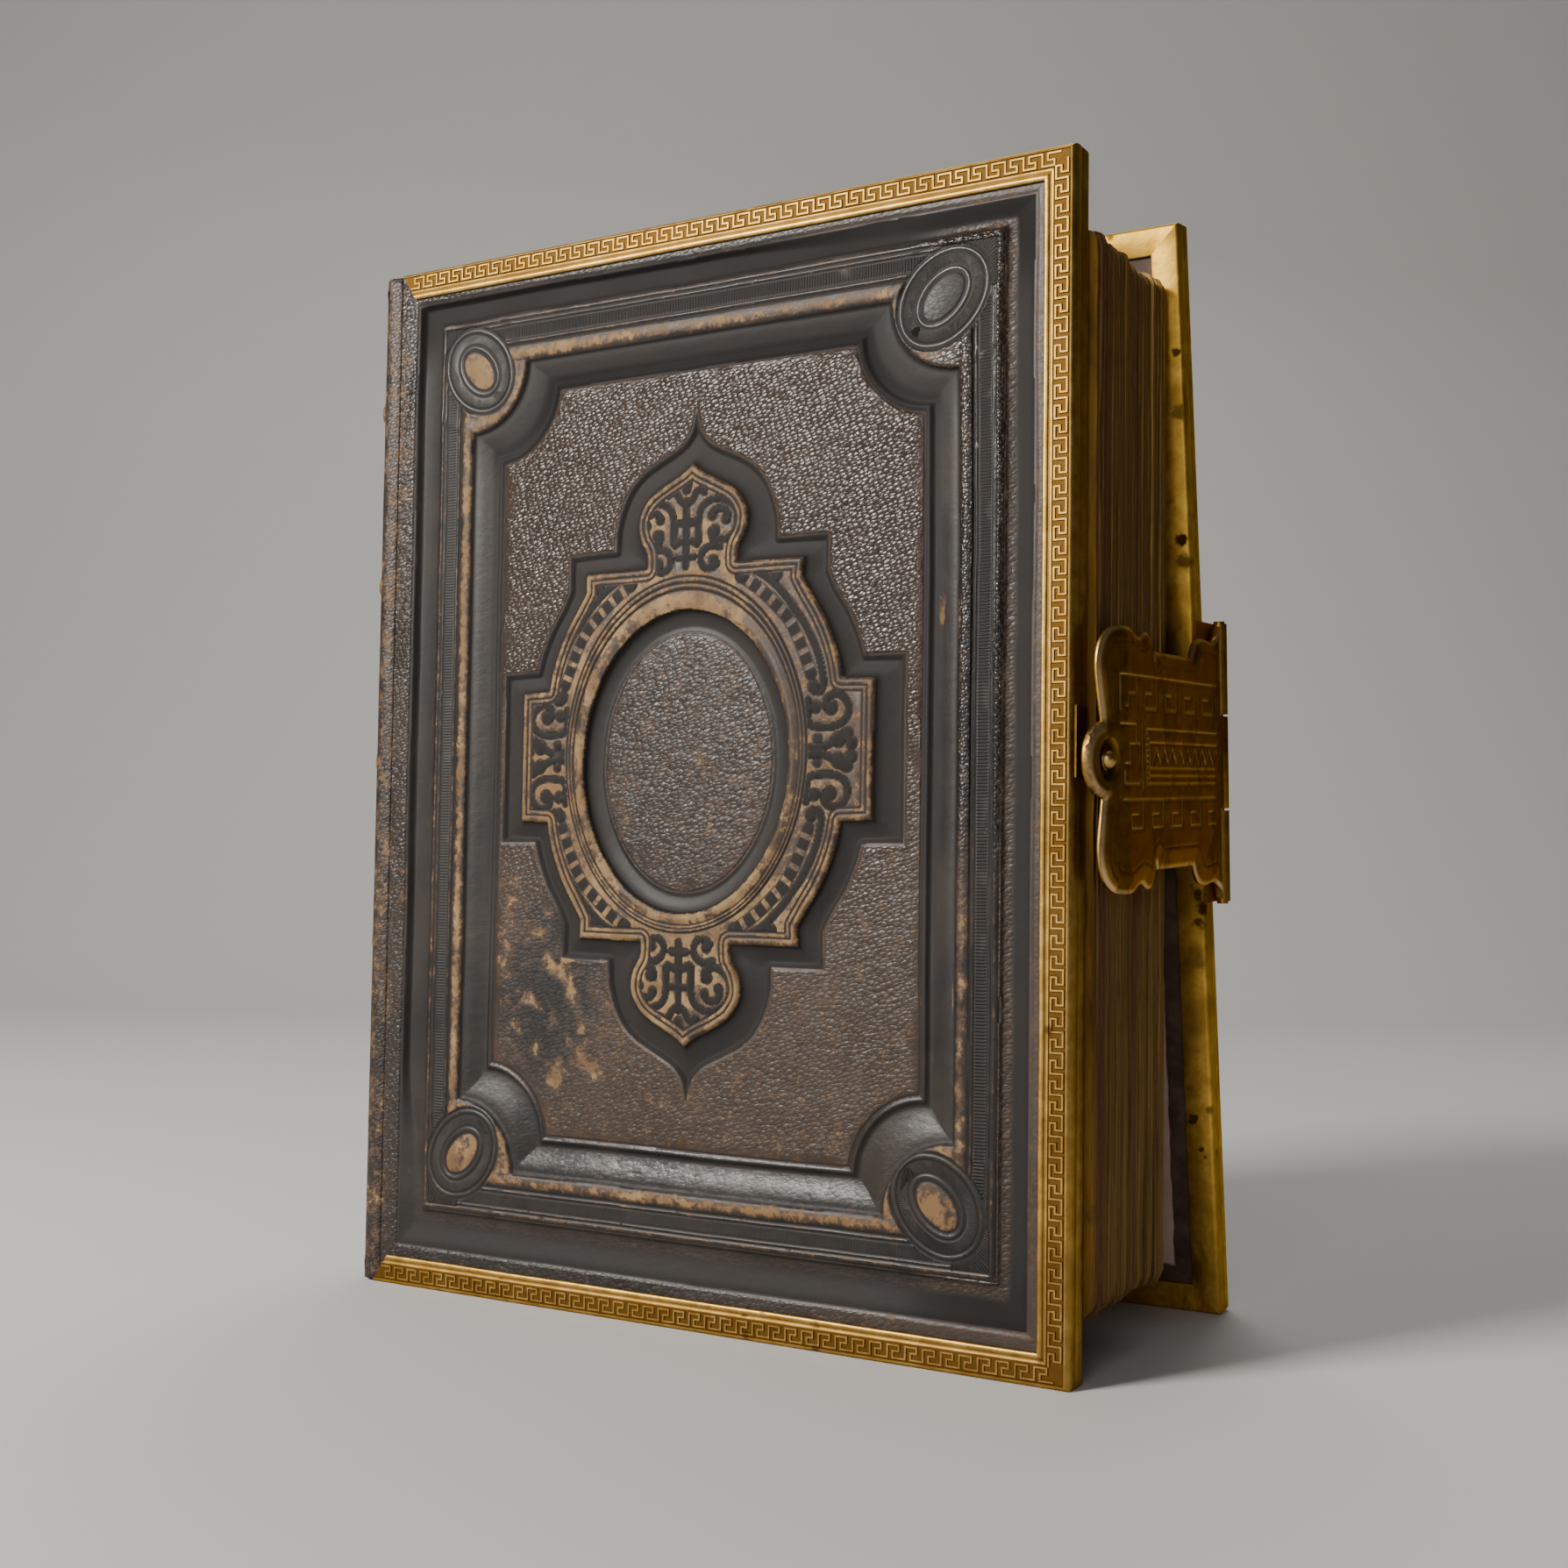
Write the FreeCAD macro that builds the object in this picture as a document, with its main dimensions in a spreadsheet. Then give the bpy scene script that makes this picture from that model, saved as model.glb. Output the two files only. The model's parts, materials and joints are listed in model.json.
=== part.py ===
import FreeCAD, Part
import Sketcher
import math
import os

# Victorian photograph album standing on its tail edges: two thick
# leather-covered boards with brass rims, a block of card leaves, a
# leather spine and a hinged brass clasp.
#
# Album axes before the shift to the part origin:
#   +X from the spine edge of the front board to its fore-edge
#   +Y from the outer face of the front board to the rear board
#   +Z up, from the tail to the head
# The front board stands upright.  The rear board leans in at the head,
# so the covers stand like a narrow A.

V = FreeCAD.Vector
os.makedirs("parts", exist_ok=True)
doc = FreeCAD.newDocument("PhotoAlbum")

DIMS = [
    # boards
    ("board_width", 114.0, "board over the rims, spine edge to fore-edge"),
    ("board_height", 155.0, "board over the rims, tail to head"),
    ("board_thick", 5.0, "whole cover over both rim flanges"),
    ("skin", 0.6, "leather thickness"),
    ("lining_thick", 0.3, "pasted lining paper"),
    ("rim_sheet", 0.5, "brass sheet of the rims"),
    ("rim_face", 4.3, "rim flange on the outer face"),
    ("rim_inside", 4.0, "rim flange on the inner face"),
    # relief of the front board
    ("panel_depth", 0.95, "panel and hollows sunk inside the frame"),
    ("cavetto_depth", 1.1, "hollow round the frame"),
    ("channel_depth", 1.5, "channel between frame and panel"),
    ("moat_depth", 1.5, "hollow round the medallion"),
    ("oval_depth", 1.3, "oval well of the medallion"),
    # rear board stance
    ("rear_shift", 2.7, "rear board stands further to the fore-edge"),
    ("rear_foot", 51.0, "inner foot of the rear board from the front face"),
    ("rear_lean", 7.5, "lean of the rear board, degrees"),
    # leaves
    ("leaf_x", -0.5, "spine side of the leaves"),
    ("leaf_fore", 115.5, "fore-edge of the leaves"),
    ("leaf_front", 5.3, "first leaf from the front face"),
    ("leaf_stack", 26.0, "thickness of all leaves together"),
    ("leaf_foot", 7.5, "tail of the leaves above the floor"),
    ("leaf_tall", 138.5, "height of the leaves"),
    # spine
    ("spine_gap", 0.35, "clearance of the spine from each board"),
    ("spine_bulge", 6.2, "outer crown of the spine"),
    ("spine_thick", 1.2, "leather and its stiffener"),
    ("spine_turn", 1.6, "thickness of the spine's two long edges"),
    # clasp
    ("pivot_x", 117.9, "clasp pivot from the spine edge"),
    ("pivot_y", 47.0, "clasp pivot from the front face"),
    ("pivot_z", 79.5, "middle of the clasp above the floor"),
    ("clasp_lean", 2.9, "lean of the clasp pivot, degrees"),
    ("clasp_sheet", 1.0, "thickness of the clasp strap"),
    ("strap_back", 0.3, "inner face of the strap behind the pivot"),
    ("knuckle_rad", 1.1, "outside radius of the knuckles"),
    ("pin_rad", 0.45, "hinge pin radius"),
    ("pin_fit", 0.05, "running clearance of the pin"),
    ("barrel_half", 19.9, "half length of the barrel"),
    ("mid_half", 6.6, "half length of the middle knuckle"),
    ("knuckle_split", 0.3, "gap between knuckles"),
    ("leaf_sheet", 0.5, "thickness of the hinge leaf"),
    ("knob_rad", 1.35, "domed knob"),
    ("knob_out", 43.3, "knob centre from the pivot"),
    ("dish_rad", 2.3, "dish round the knob"),
    ("shank_rad", 0.7, "shank of the knob"),
    ("catch_thick", 0.3, "catch plate"),
    # part origin, middle of the footprint
    ("origin_x", 56.375, "part origin from the spine edge"),
    ("origin_y", 27.261, "part origin from the front face"),
]
sheet = doc.addObject("Spreadsheet::Sheet", "Dims")
sheet.Label = "Dims"
for row, (alias, value, note) in enumerate(DIMS, 1):
    sheet.set("A%d" % row, alias)
    sheet.set("B%d" % row, str(value))
    sheet.set("C%d" % row, note)
    sheet.setAlias("B%d" % row, alias)
doc.recompute()


def D(alias):
    return float(sheet.get(alias))


W = D("board_width")
H = D("board_height")
T = D("board_thick")
SKIN = D("skin")
SHEET = D("rim_sheet")
LINE = D("lining_thick")
OX = D("origin_x")
OY = D("origin_y")
LEAN = math.radians(D("rear_lean"))

# ---------------------------------------------------------------- helpers


def plane(body, role):
    for feat in body.Origin.OriginFeatures:
        if getattr(feat, "Role", "") == role:
            return feat
    raise RuntimeError("no " + role)


def new_body(name):
    body = doc.addObject("PartDesign::Body", name)
    body.Label = name
    return body


def new_sketch(body, name, role="XY_Plane", off=0.0, expr=None):
    sk = body.newObject("Sketcher::SketchObject", name)
    sk.AttachmentSupport = (plane(body, role), [""])
    sk.MapMode = "FlatFace"
    sk.AttachmentOffset = FreeCAD.Placement(V(0, 0, off), FreeCAD.Rotation())
    if expr:
        sk.setExpression("AttachmentOffset.Base.z", expr)
    return sk


def pin_point(sk, geo, pos, axis, value, expr):
    # fixes one coordinate of a point, bound to the sheet
    if abs(value) < 1e-9:
        sk.addConstraint(Sketcher.Constraint(
            "PointOnObject", geo, pos, -2 if axis == "X" else -1))
        return
    idx = sk.addConstraint(Sketcher.Constraint(
        "Distance" + axis, -1, 1, geo, pos, value))
    if expr:
        sk.setExpression("Constraints[%d]" % idx, expr)


def rect(sk, x0, y0, x1, y1, ex0="", ey0="", ex1="", ey1=""):
    pts = [V(x0, y0, 0), V(x1, y0, 0), V(x1, y1, 0), V(x0, y1, 0)]
    g = [sk.addGeometry(Part.LineSegment(pts[i], pts[(i + 1) % 4]), False)
         for i in range(4)]
    for i in range(4):
        sk.addConstraint(Sketcher.Constraint(
            "Coincident", g[i], 2, g[(i + 1) % 4], 1))
    sk.addConstraint(Sketcher.Constraint("Horizontal", g[0]))
    sk.addConstraint(Sketcher.Constraint("Horizontal", g[2]))
    sk.addConstraint(Sketcher.Constraint("Vertical", g[1]))
    sk.addConstraint(Sketcher.Constraint("Vertical", g[3]))
    pin_point(sk, g[0], 1, "X", x0, ex0)
    pin_point(sk, g[0], 1, "Y", y0, ey0)
    pin_point(sk, g[2], 1, "X", x1, ex1)
    pin_point(sk, g[2], 1, "Y", y1, ey1)


def lines(sk, pts):
    n = len(pts)
    g = [sk.addGeometry(Part.LineSegment(
        V(pts[i][0], pts[i][1], 0),
        V(pts[(i + 1) % n][0], pts[(i + 1) % n][1], 0)), False)
        for i in range(n)]
    for i in range(n):
        sk.addConstraint(Sketcher.Constraint(
            "Coincident", g[i], 2, g[(i + 1) % n], 1))
    for i in g:
        sk.addConstraint(Sketcher.Constraint("Block", i))


def edge_line(sk, a, b):
    sk.addGeometry(Part.LineSegment(V(a[0], a[1], 0), V(b[0], b[1], 0)), False)


def edge_arc(sk, a, m, b):
    sk.addGeometry(Part.Arc(V(a[0], a[1], 0), V(m[0], m[1], 0),
                            V(b[0], b[1], 0)), False)


def pad(body, sk, name, length, expr=None, both=False, rev=False):
    f = body.newObject("PartDesign::Pad", name)
    f.Profile = sk
    f.Length = length
    f.Midplane = both
    f.Reversed = rev
    if expr:
        f.setExpression("Length", expr)
    sk.Visibility = False
    doc.recompute()
    return f


def pocket(body, sk, name, length=None, expr=None, both=False):
    before = body.Shape.Volume
    f = body.newObject("PartDesign::Pocket", name)
    f.Profile = sk
    if length is None:
        f.Type = 0
        f.Length = 160.0
        f.Midplane = True
    else:
        f.Length = length
        if expr:
            f.setExpression("Length", expr)
    sk.Visibility = False
    doc.recompute()
    if body.Shape.Volume > before - 1e-3:
        raise RuntimeError(name + " cuts nothing")
    return f


def offset_poly(pts, t):
    # polygon grown (t > 0) or shrunk (t < 0) with sharp corners
    wire = Part.makePolygon([V(x, y, 0) for x, y in pts] +
                            [V(pts[0][0], pts[0][1], 0)])
    if abs(t) < 1e-9:
        return list(pts)
    out = wire.makeOffset2D(t, 2, False, False, False)
    es = out.OrderedEdges if hasattr(out, "OrderedEdges") else out.Edges
    vs = out.OrderedVertexes
    return [(v.Point.x, v.Point.y) for v in vs]


# Outlines of the relief, in the plane of the board: x from the spine edge,
# y up from the tail.
CX, CY = 56.75, 79.2         # middle of the medallion
FR_L, FR_R, FR_B, FR_T = 17.05, 98.05, 18.5, 138.5    # inside of the frame
PN_L, PN_R, PN_B, PN_T = 22.4, 92.8, 24.1, 133.7      # panel
R_LOBE = 10.1                # frame's round corner lobes
R_BITE = 11.1                # panel's hollow corners


def sides(l, r, mirror):
    return (W - r, W - l) if mirror else (l, r)


def lobed(sk, grow, mirror=False):
    # inside outline of the frame; a round lobe swells in at each corner
    lo, hi = sides(FR_L, FR_R, mirror)
    l, r, b, t = lo - grow, hi + grow, FR_B - grow, FR_T + grow
    rad = R_LOBE - grow
    k = math.sqrt(rad * rad - grow * grow)
    s = rad / math.sqrt(2)
    edge_line(sk, (lo + k, b), (hi - k, b))
    edge_arc(sk, (hi - k, b), (hi - s, FR_B + s), (r, FR_B + k))
    edge_line(sk, (r, FR_B + k), (r, FR_T - k))
    edge_arc(sk, (r, FR_T - k), (hi - s, FR_T - s), (hi - k, t))
    edge_line(sk, (hi - k, t), (lo + k, t))
    edge_arc(sk, (lo + k, t), (lo + s, FR_T - s), (l, FR_T - k))
    edge_line(sk, (l, FR_T - k), (l, FR_B + k))
    edge_arc(sk, (l, FR_B + k), (lo + s, FR_B + s), (lo + k, b))


def bitten(sk, shrink, mirror=False):
    # outline of the panel with its hollow corners
    lo, hi = sides(PN_L, PN_R, mirror)
    l, r, b, t = lo + shrink, hi - shrink, PN_B + shrink, PN_T - shrink
    e = 0.95                 # hollow centres stand this far off the panel
    rad = R_BITE + shrink
    k = math.sqrt(rad * rad - (e + shrink) ** 2)
    s = rad / math.sqrt(2)
    cl, cr, cb, ct = lo - e, hi + e, PN_B - e, PN_T + e
    edge_line(sk, (cl + k, b), (cr - k, b))
    edge_arc(sk, (cr - k, b), (cr - s, cb + s), (r, cb + k))
    edge_line(sk, (r, cb + k), (r, ct - k))
    edge_arc(sk, (r, ct - k), (cr - s, ct - s), (cr - k, t))
    edge_line(sk, (cr - k, t), (cl + k, t))
    edge_arc(sk, (cl + k, t), (cl + s, ct - s), (l, ct - k))
    edge_line(sk, (l, ct - k), (l, cb + k))
    edge_arc(sk, (l, cb + k), (cl + s, cb + s), (cl + k, b))


def four_way(quarter):
    # mirrors a quarter outline, given from the head tip round to the side,
    # into the closed outline
    q = [(x, y) for x, y in quarter]
    top_right = [(CX + x, CY + y) for x, y in q]
    bottom_right = [(CX + x, CY - y) for x, y in reversed(q)]
    bottom_left = [(CX - x, CY - y) for x, y in q]
    top_left = [(CX - x, CY + y) for x, y in reversed(q)]
    out = []
    for p in top_right + bottom_right + bottom_left + top_left:
        if not out or math.hypot(p[0] - out[-1][0], p[1] - out[-1][1]) > 1e-6:
            out.append(p)
    if math.hypot(out[0][0] - out[-1][0], out[0][1] - out[-1][1]) < 1e-6:
        out.pop()
    return out


# ogee head, stepped shoulder and square arm of the medallion and its hollow
MOAT = four_way([(0.0, 48.5), (0.9, 45.2), (3.8, 42.7), (8.8, 40.2),
                 (12.4, 35.7), (13.5, 30.6), (13.5, 29.3), (21.6, 29.2),
                 (21.5, 24.3), (24.7, 18.8), (27.0, 13.2), (27.2, 12.5),
                 (33.3, 12.4)])
MEDAL = four_way([(0.0, 40.7), (4.6, 38.0), (8.8, 34.2), (9.1, 32.2),
                  (8.6, 30.2), (7.5, 27.6), (7.5, 26.4), (18.1, 26.3),
                  (18.0, 23.7), (21.4, 18.3), (24.0, 11.8), (24.4, 9.6),
                  (29.2, 9.4)])
OVAL_A, OVAL_B = 17.1, 21.3
# the oval sits a little low and towards the spine in the medallion
OVAL_X, OVAL_Y = CX - 0.8, CY - 1.1

# Placement of things drawn flat, x across, y up, z out of the front face
FRONT_FLAT = FreeCAD.Placement(V(-OX, -OY, 0),
                               FreeCAD.Rotation(V(1, 0, 0), 90))
REAR = FreeCAD.Placement(V(D("rear_shift") - OX, D("rear_foot") - OY, 0),
                         FreeCAD.Rotation(V(1, 0, 0), D("rear_lean")))
# the rear face is drawn from outside, so x runs from its fore-edge
REAR_FLAT = REAR.multiply(FreeCAD.Placement(
    V(W, T, 0), FreeCAD.Rotation(V(0, 0, 1), 180))).multiply(
    FreeCAD.Placement(V(0, 0, 0), FreeCAD.Rotation(V(1, 0, 0), 90)))


def flat_body(name, inset, top, bottom, inset_x, top_x, bottom_x):
    # a plate inside the rims; z = 0 is the outermost plane of the cover
    body = new_body(name)
    sk = new_sketch(body, name + "_outline", off=-bottom, expr="-(%s)" % bottom_x)
    rect(sk, inset, inset, W - inset, H - inset,
         inset_x, inset_x, "Dims.board_width - (%s)" % inset_x,
         "Dims.board_height - (%s)" % inset_x)
    pad(body, sk, name + "_plate", bottom - top,
        "(%s) - (%s)" % (bottom_x, top_x))
    return body


def relief(body, name, top, top_x, grow, grow_down, full, mirror):
    # sinks the hollows; grow widens each one, so that a skin of that
    # thickness follows the core
    def sk_at(tag):
        return new_sketch(body, name + "_" + tag, off=-top,
                          expr="-(%s)" % top_x)

    def m(x):
        return W - x if mirror else x
    # hollow moulding round the frame
    sk = sk_at("cavetto")
    xa, xb = sorted((m(5.8), m(108.4)))
    xc, xd = sorted((m(10.45), m(104.2)))
    rect(sk, xa - grow, 6.4 - grow, xb + grow, 149.4 + grow)
    rect(sk, xc + grow, 11.9 + grow, xd - grow, 145.9 - grow)
    pocket(body, sk, name + "_cavetto_cut", D("cavetto_depth"),
           "Dims.cavetto_depth")
    # everything inside the frame lies low, but for the medallion
    sk = sk_at("sunk")
    lobed(sk, grow, mirror)
    if full:
        lines(sk, offset_poly(MEDAL, -grow))
    pocket(body, sk, name + "_sunk_cut", D("panel_depth"), "Dims.panel_depth")
    # channel between frame and panel
    sk = sk_at("channel")
    lobed(sk, grow, mirror)
    bitten(sk, grow, mirror)
    pocket(body, sk, name + "_channel_cut", D("channel_depth"),
           "Dims.channel_depth")
    if not full:
        return
    # hollow round the medallion
    sk = sk_at("moat")
    lines(sk, offset_poly(MOAT, grow))
    lines(sk, offset_poly(MEDAL, -grow))
    pocket(body, sk, name + "_moat_cut", D("moat_depth"), "Dims.moat_depth")
    # oval well
    sk = sk_at("oval")
    sk.addGeometry(Part.Ellipse(V(OVAL_X, OVAL_Y + OVAL_B + grow, 0),
                                V(OVAL_X + OVAL_A + grow, OVAL_Y, 0),
                                V(OVAL_X, OVAL_Y, 0)), False)
    pocket(body, sk, name + "_oval_cut", D("oval_depth"), "Dims.oval_depth")


def cut(name, base, tool):
    c = doc.addObject("Part::Cut", name)
    c.Label = name
    c.Base = base
    c.Tool = tool
    doc.recompute()
    return c


# ------------------------------------------------------------ two covers

NODES = []


def cover(side):
    rear = side == "rear"
    flat = REAR_FLAT if rear else FRONT_FLAT
    # core board, with the relief sunk in its outer face
    core_x = "Dims.rim_sheet + Dims.skin"
    back = T - SHEET - LINE
    back_x = "Dims.board_thick - Dims.rim_sheet - Dims.lining_thick"
    board = flat_body(side + "_board", SHEET + SKIN, SHEET + SKIN, back,
                      core_x, core_x, back_x)
    relief(board, side + "_core", SHEET + SKIN, core_x, SKIN, 0.0,
           not rear, rear)
    board.Placement = flat
    # leather drawn over the outer face and the edges of the board
    blank = flat_body(side + "_leather_blank", SHEET, SHEET, back,
                      "Dims.rim_sheet", "Dims.rim_sheet", back_x)
    relief(blank, side + "_skin", SHEET, "Dims.rim_sheet", 0.0, 0.0,
           not rear, rear)
    blank.Placement = flat
    doc.recompute()
    leather = cut(side + "_leather", blank, board)
    # lining paper on the inner face
    lining = flat_body(side + "_lining", SHEET, back, T - SHEET,
                       "Dims.rim_sheet", back_x,
                       "Dims.board_thick - Dims.rim_sheet")
    lining.Placement = flat
    # brass rims: a channel bent round three edges, mitred at each end
    rims = []
    for edge in ("tail", "head", "fore_edge"):
        name = side + "_rim_" + edge
        size = H if edge == "fore_edge" else W
        size_x = "Dims.board_height" if edge == "fore_edge" \
            else "Dims.board_width"
        # flange widths swap sides on the rear cover
        w0, w1 = D("rim_face"), D("rim_inside")
        w0_x, w1_x = "Dims.rim_face", "Dims.rim_inside"
        if rear:
            w0, w1, w0_x, w1_x = w1, w0, w1_x, w0_x
        body = new_body(name)
        sk = new_sketch(body, name + "_section", "YZ_Plane")
        pts = [(0, 0), (T, 0), (T, w1), (T - SHEET, w1),
               (T - SHEET, SHEET), (SHEET, SHEET), (SHEET, w0), (0, w0)]
        exs = [("", ""), ("Dims.board_thick", ""),
               ("Dims.board_thick", w1_x),
               ("Dims.board_thick - Dims.rim_sheet", w1_x),
               ("Dims.board_thick - Dims.rim_sheet", "Dims.rim_sheet"),
               ("Dims.rim_sheet", "Dims.rim_sheet"),
               ("Dims.rim_sheet", w0_x), ("", w0_x)]
        g = [sk.addGeometry(Part.LineSegment(
            V(pts[i][0], pts[i][1], 0),
            V(pts[(i + 1) % 8][0], pts[(i + 1) % 8][1], 0)), False)
            for i in range(8)]
        for i in range(8):
            sk.addConstraint(Sketcher.Constraint(
                "Coincident", g[i], 2, g[(i + 1) % 8], 1))
        for i in range(8):
            pin_point(sk, g[i], 1, "X", pts[i][0], exs[i][0])
            pin_point(sk, g[i], 1, "Y", pts[i][1], exs[i][1])
        pad(body, sk, name + "_strip", size, size_x)
        sk = new_sketch(body, name + "_mitre", "XZ_Plane")
        # square mitres at the fore-edge, a skew cut at the spine
        k = 6.0
        skew = {"tail": (1.0, 3.0), "head": (2.3, 2.9)}
        if edge == "tail":
            p, q = skew[edge]
            lines(sk, [(-0.001, -0.001), (p, -0.001),
                       (p + q * k / 4.3, k + 0.001), (-0.001, k + 0.001)])
        else:
            lines(sk, [(-0.001, 0.0), (k, k + 0.001), (-0.001, k + 0.001)])
        if edge == "head":
            p, q = skew[edge]
            lines(sk, [(size + 0.001, -0.001), (size + 0.001, k + 0.001),
                       (size - p - q * k / 4.3, k + 0.001),
                       (size - p, -0.001)])
        else:
            lines(sk, [(size + 0.001, 0.0), (size + 0.001, k + 0.001),
                       (size - k, k + 0.001)])
        pocket(body, sk, name + "_mitre_cut", both=True)
        if edge == "tail":
            local = FreeCAD.Placement()
        elif edge == "head":
            local = FreeCAD.Placement(V(W, 0, H),
                                      FreeCAD.Rotation(V(0, 1, 0), 180))
        else:
            local = FreeCAD.Placement(V(W, 0, 0),
                                      FreeCAD.Rotation(V(0, 1, 0), -90))
        base = REAR if rear else FreeCAD.Placement(V(-OX, -OY, 0),
                                                   FreeCAD.Rotation())
        body.Placement = base.multiply(local)
        rims.append(body)
    return board, leather, lining, rims


front_board, front_leather, front_lining, front_rims = cover("front")
rear_board, rear_leather, rear_lining, rear_rims = cover("rear")
doc.recompute()

# ------------------------------------------------------------ leaves

pages = doc.addObject("Part::Box", "page_block")
pages.Label = "page_block"
pages.setExpression("Length", "Dims.leaf_fore - Dims.leaf_x")
pages.setExpression("Width", "Dims.leaf_stack")
pages.setExpression("Height", "Dims.leaf_tall")
pages.Placement = FreeCAD.Placement(
    V(D("leaf_x") - OX, D("leaf_front") - OY, D("leaf_foot")),
    FreeCAD.Rotation())
pages.setExpression("Placement.Base.x", "Dims.leaf_x - Dims.origin_x")
pages.setExpression("Placement.Base.y", "Dims.leaf_front - Dims.origin_y")
pages.setExpression("Placement.Base.z", "Dims.leaf_foot")

# ------------------------------------------------------------ spine
# The spine is drawn at the tail and at the head; it narrows with the
# leaning rear board.


def rear_edge(z):
    # outer spine-side edge of the rear board at height z
    return D("rear_foot") + T / math.cos(LEAN) - z * math.tan(LEAN)


def spine_points(z):
    g = D("spine_gap")
    y0, y1 = g, rear_edge(z) - g
    x0, x1 = -g, D("rear_shift") - g
    b, t, e = D("spine_bulge"), D("spine_thick"), D("spine_turn")
    ym = 0.5 * (y0 + y1)
    return ((x0, y0), (-b, ym), (x1, y1),
            (x0, y0 + e), (-b + t, ym), (x1, y1 - e))


def spine_loft(name, solid_core):
    body = new_body(name)
    sks = []
    for tag, z, ex in (("tail", 0.0, None), ("head", H, "Dims.board_height")):
        sk = new_sketch(body, name + "_" + tag, off=z, expr=ex)
        a, m, b, ai, mi, bi = spine_points(z)
        if solid_core:
            edge_arc(sk, ai, mi, bi)
            edge_line(sk, bi, ai)
        else:
            edge_arc(sk, a, m, b)
            edge_line(sk, b, bi)
            edge_arc(sk, bi, mi, ai)
            edge_line(sk, ai, a)
        sks.append(sk)
    doc.recompute()
    loft = body.newObject("PartDesign::AdditiveLoft", name + "_loft")
    loft.Profile = sks[0]
    loft.Sections = [sks[1]]
    loft.Ruled = True
    doc.recompute()
    body.Placement = FreeCAD.Placement(V(-OX, -OY, 0), FreeCAD.Rotation())
    body.setExpression("Placement.Base.x", "-Dims.origin_x")
    body.setExpression("Placement.Base.y", "-Dims.origin_y")
    return body


spine_leather = spine_loft("spine_leather", False)
core = spine_loft("spine_core", True)
backing = doc.addObject("Part::Box", "spine_backing")
backing.Length = 12.0
backing.setExpression("Width", "Dims.leaf_stack")
backing.setExpression("Height", "Dims.leaf_tall")
backing.Placement = FreeCAD.Placement(
    V(D("leaf_x") - 12.0 - OX, D("leaf_front") - OY, D("leaf_foot")),
    FreeCAD.Rotation())
doc.recompute()
spine_lining = doc.addObject("Part::Common", "spine_lining")
spine_lining.Label = "spine_lining"
spine_lining.Base = core
spine_lining.Tool = backing
doc.recompute()

# ------------------------------------------------------------ clasp
# Clasp axes: origin on the hinge pin, z along the pin, -y towards the
# front cover, x outwards from the fore-edge.
CLASP = FreeCAD.Placement(
    V(D("pivot_x") - OX, D("pivot_y") - OY, D("pivot_z")),
    FreeCAD.Rotation(V(1, 0, 0), D("clasp_lean")))
BH, MH, KS = D("barrel_half"), D("mid_half"), D("knuckle_split")
KR, PR, PF = D("knuckle_rad"), D("pin_rad"), D("pin_fit")
SB, CS = D("strap_back"), D("clasp_sheet")

HALF = [(1.5, 19.4), (2.3, 17.9), (4.2, 17.0), (7.9, 17.3), (10.7, 16.9),
        (12.4, 15.7), (13.3, 14.3), (27.9, 14.3), (28.3, 13.3), (29.0, 15.3),
        (30.4, 16.6), (32.0, 16.6), (33.7, 15.9), (35.3, 16.2), (37.3, 16.9),
        (41.1, 16.8), (43.1, 15.9), (44.4, 14.2), (44.9, 11.8), (44.6, 9.0),
        (44.2, 6.6), (43.9, 4.8)]
# the tab is a little narrower than it is tall
TAB_C, TAB_R, TAB_W = 43.7, 4.8, 4.0

strap = new_body("clasp_strap")
sk = new_sketch(strap, "strap_section")
# flat behind the shoulder, then bent in towards the front cover
lines(sk, [(-SB, -1.5), (-SB + CS, -1.5), (-SB + CS, -39.3),
           (-SB + CS - 2.45, -48.9), (-SB - 2.45, -48.65), (-SB, -39.1)])
pad(strap, sk, "strap_sheet", 2 * BH, "2 * Dims.barrel_half", both=True)
sk = new_sketch(strap, "strap_outline", "YZ_Plane")
lines(sk, [(5, -30), (-60, -30), (-60, 30), (5, 30)])
top = [(-u, z) for u, z in HALF]
bot = [(-u, -z) for u, z in reversed(HALF)]
out = top + [(-TAB_C - TAB_W * math.sin(math.radians(k)),
              TAB_R * math.cos(math.radians(k)))
             for k in (18, 36, 54, 72, 90, 108, 126, 144, 162)] + bot
lines(sk, out)
pocket(strap, sk, "strap_trim", both=True)
# web and middle knuckle round the pin
sk = new_sketch(strap, "strap_web")
lines(sk, [(-SB, -2.6), (-SB + CS, -2.6), (-SB + CS, -0.2), (-SB, -0.2)])
pad(strap, sk, "strap_web_pad", 2 * MH, "2 * Dims.mid_half", both=True)
sk = new_sketch(strap, "strap_knuckle")
gi = sk.addGeometry(Part.Circle(V(0, 0, 0), V(0, 0, 1), KR), False)
sk.addConstraint(Sketcher.Constraint("Coincident", gi, 3, -1, 1))
ci = sk.addConstraint(Sketcher.Constraint("Radius", gi, KR))
sk.setExpression("Constraints[%d]" % ci, "Dims.knuckle_rad")
pad(strap, sk, "strap_knuckle_pad", 2 * MH, "2 * Dims.mid_half", both=True)
sk = new_sketch(strap, "strap_bore")
gi = sk.addGeometry(Part.Circle(V(0, 0, 0), V(0, 0, 1), PR + PF), False)
sk.addConstraint(Sketcher.Constraint("Coincident", gi, 3, -1, 1))
ci = sk.addConstraint(Sketcher.Constraint("Radius", gi, PR + PF))
sk.setExpression("Constraints[%d]" % ci, "Dims.pin_rad + Dims.pin_fit")
pocket(strap, sk, "strap_bore_cut", both=True)
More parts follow.
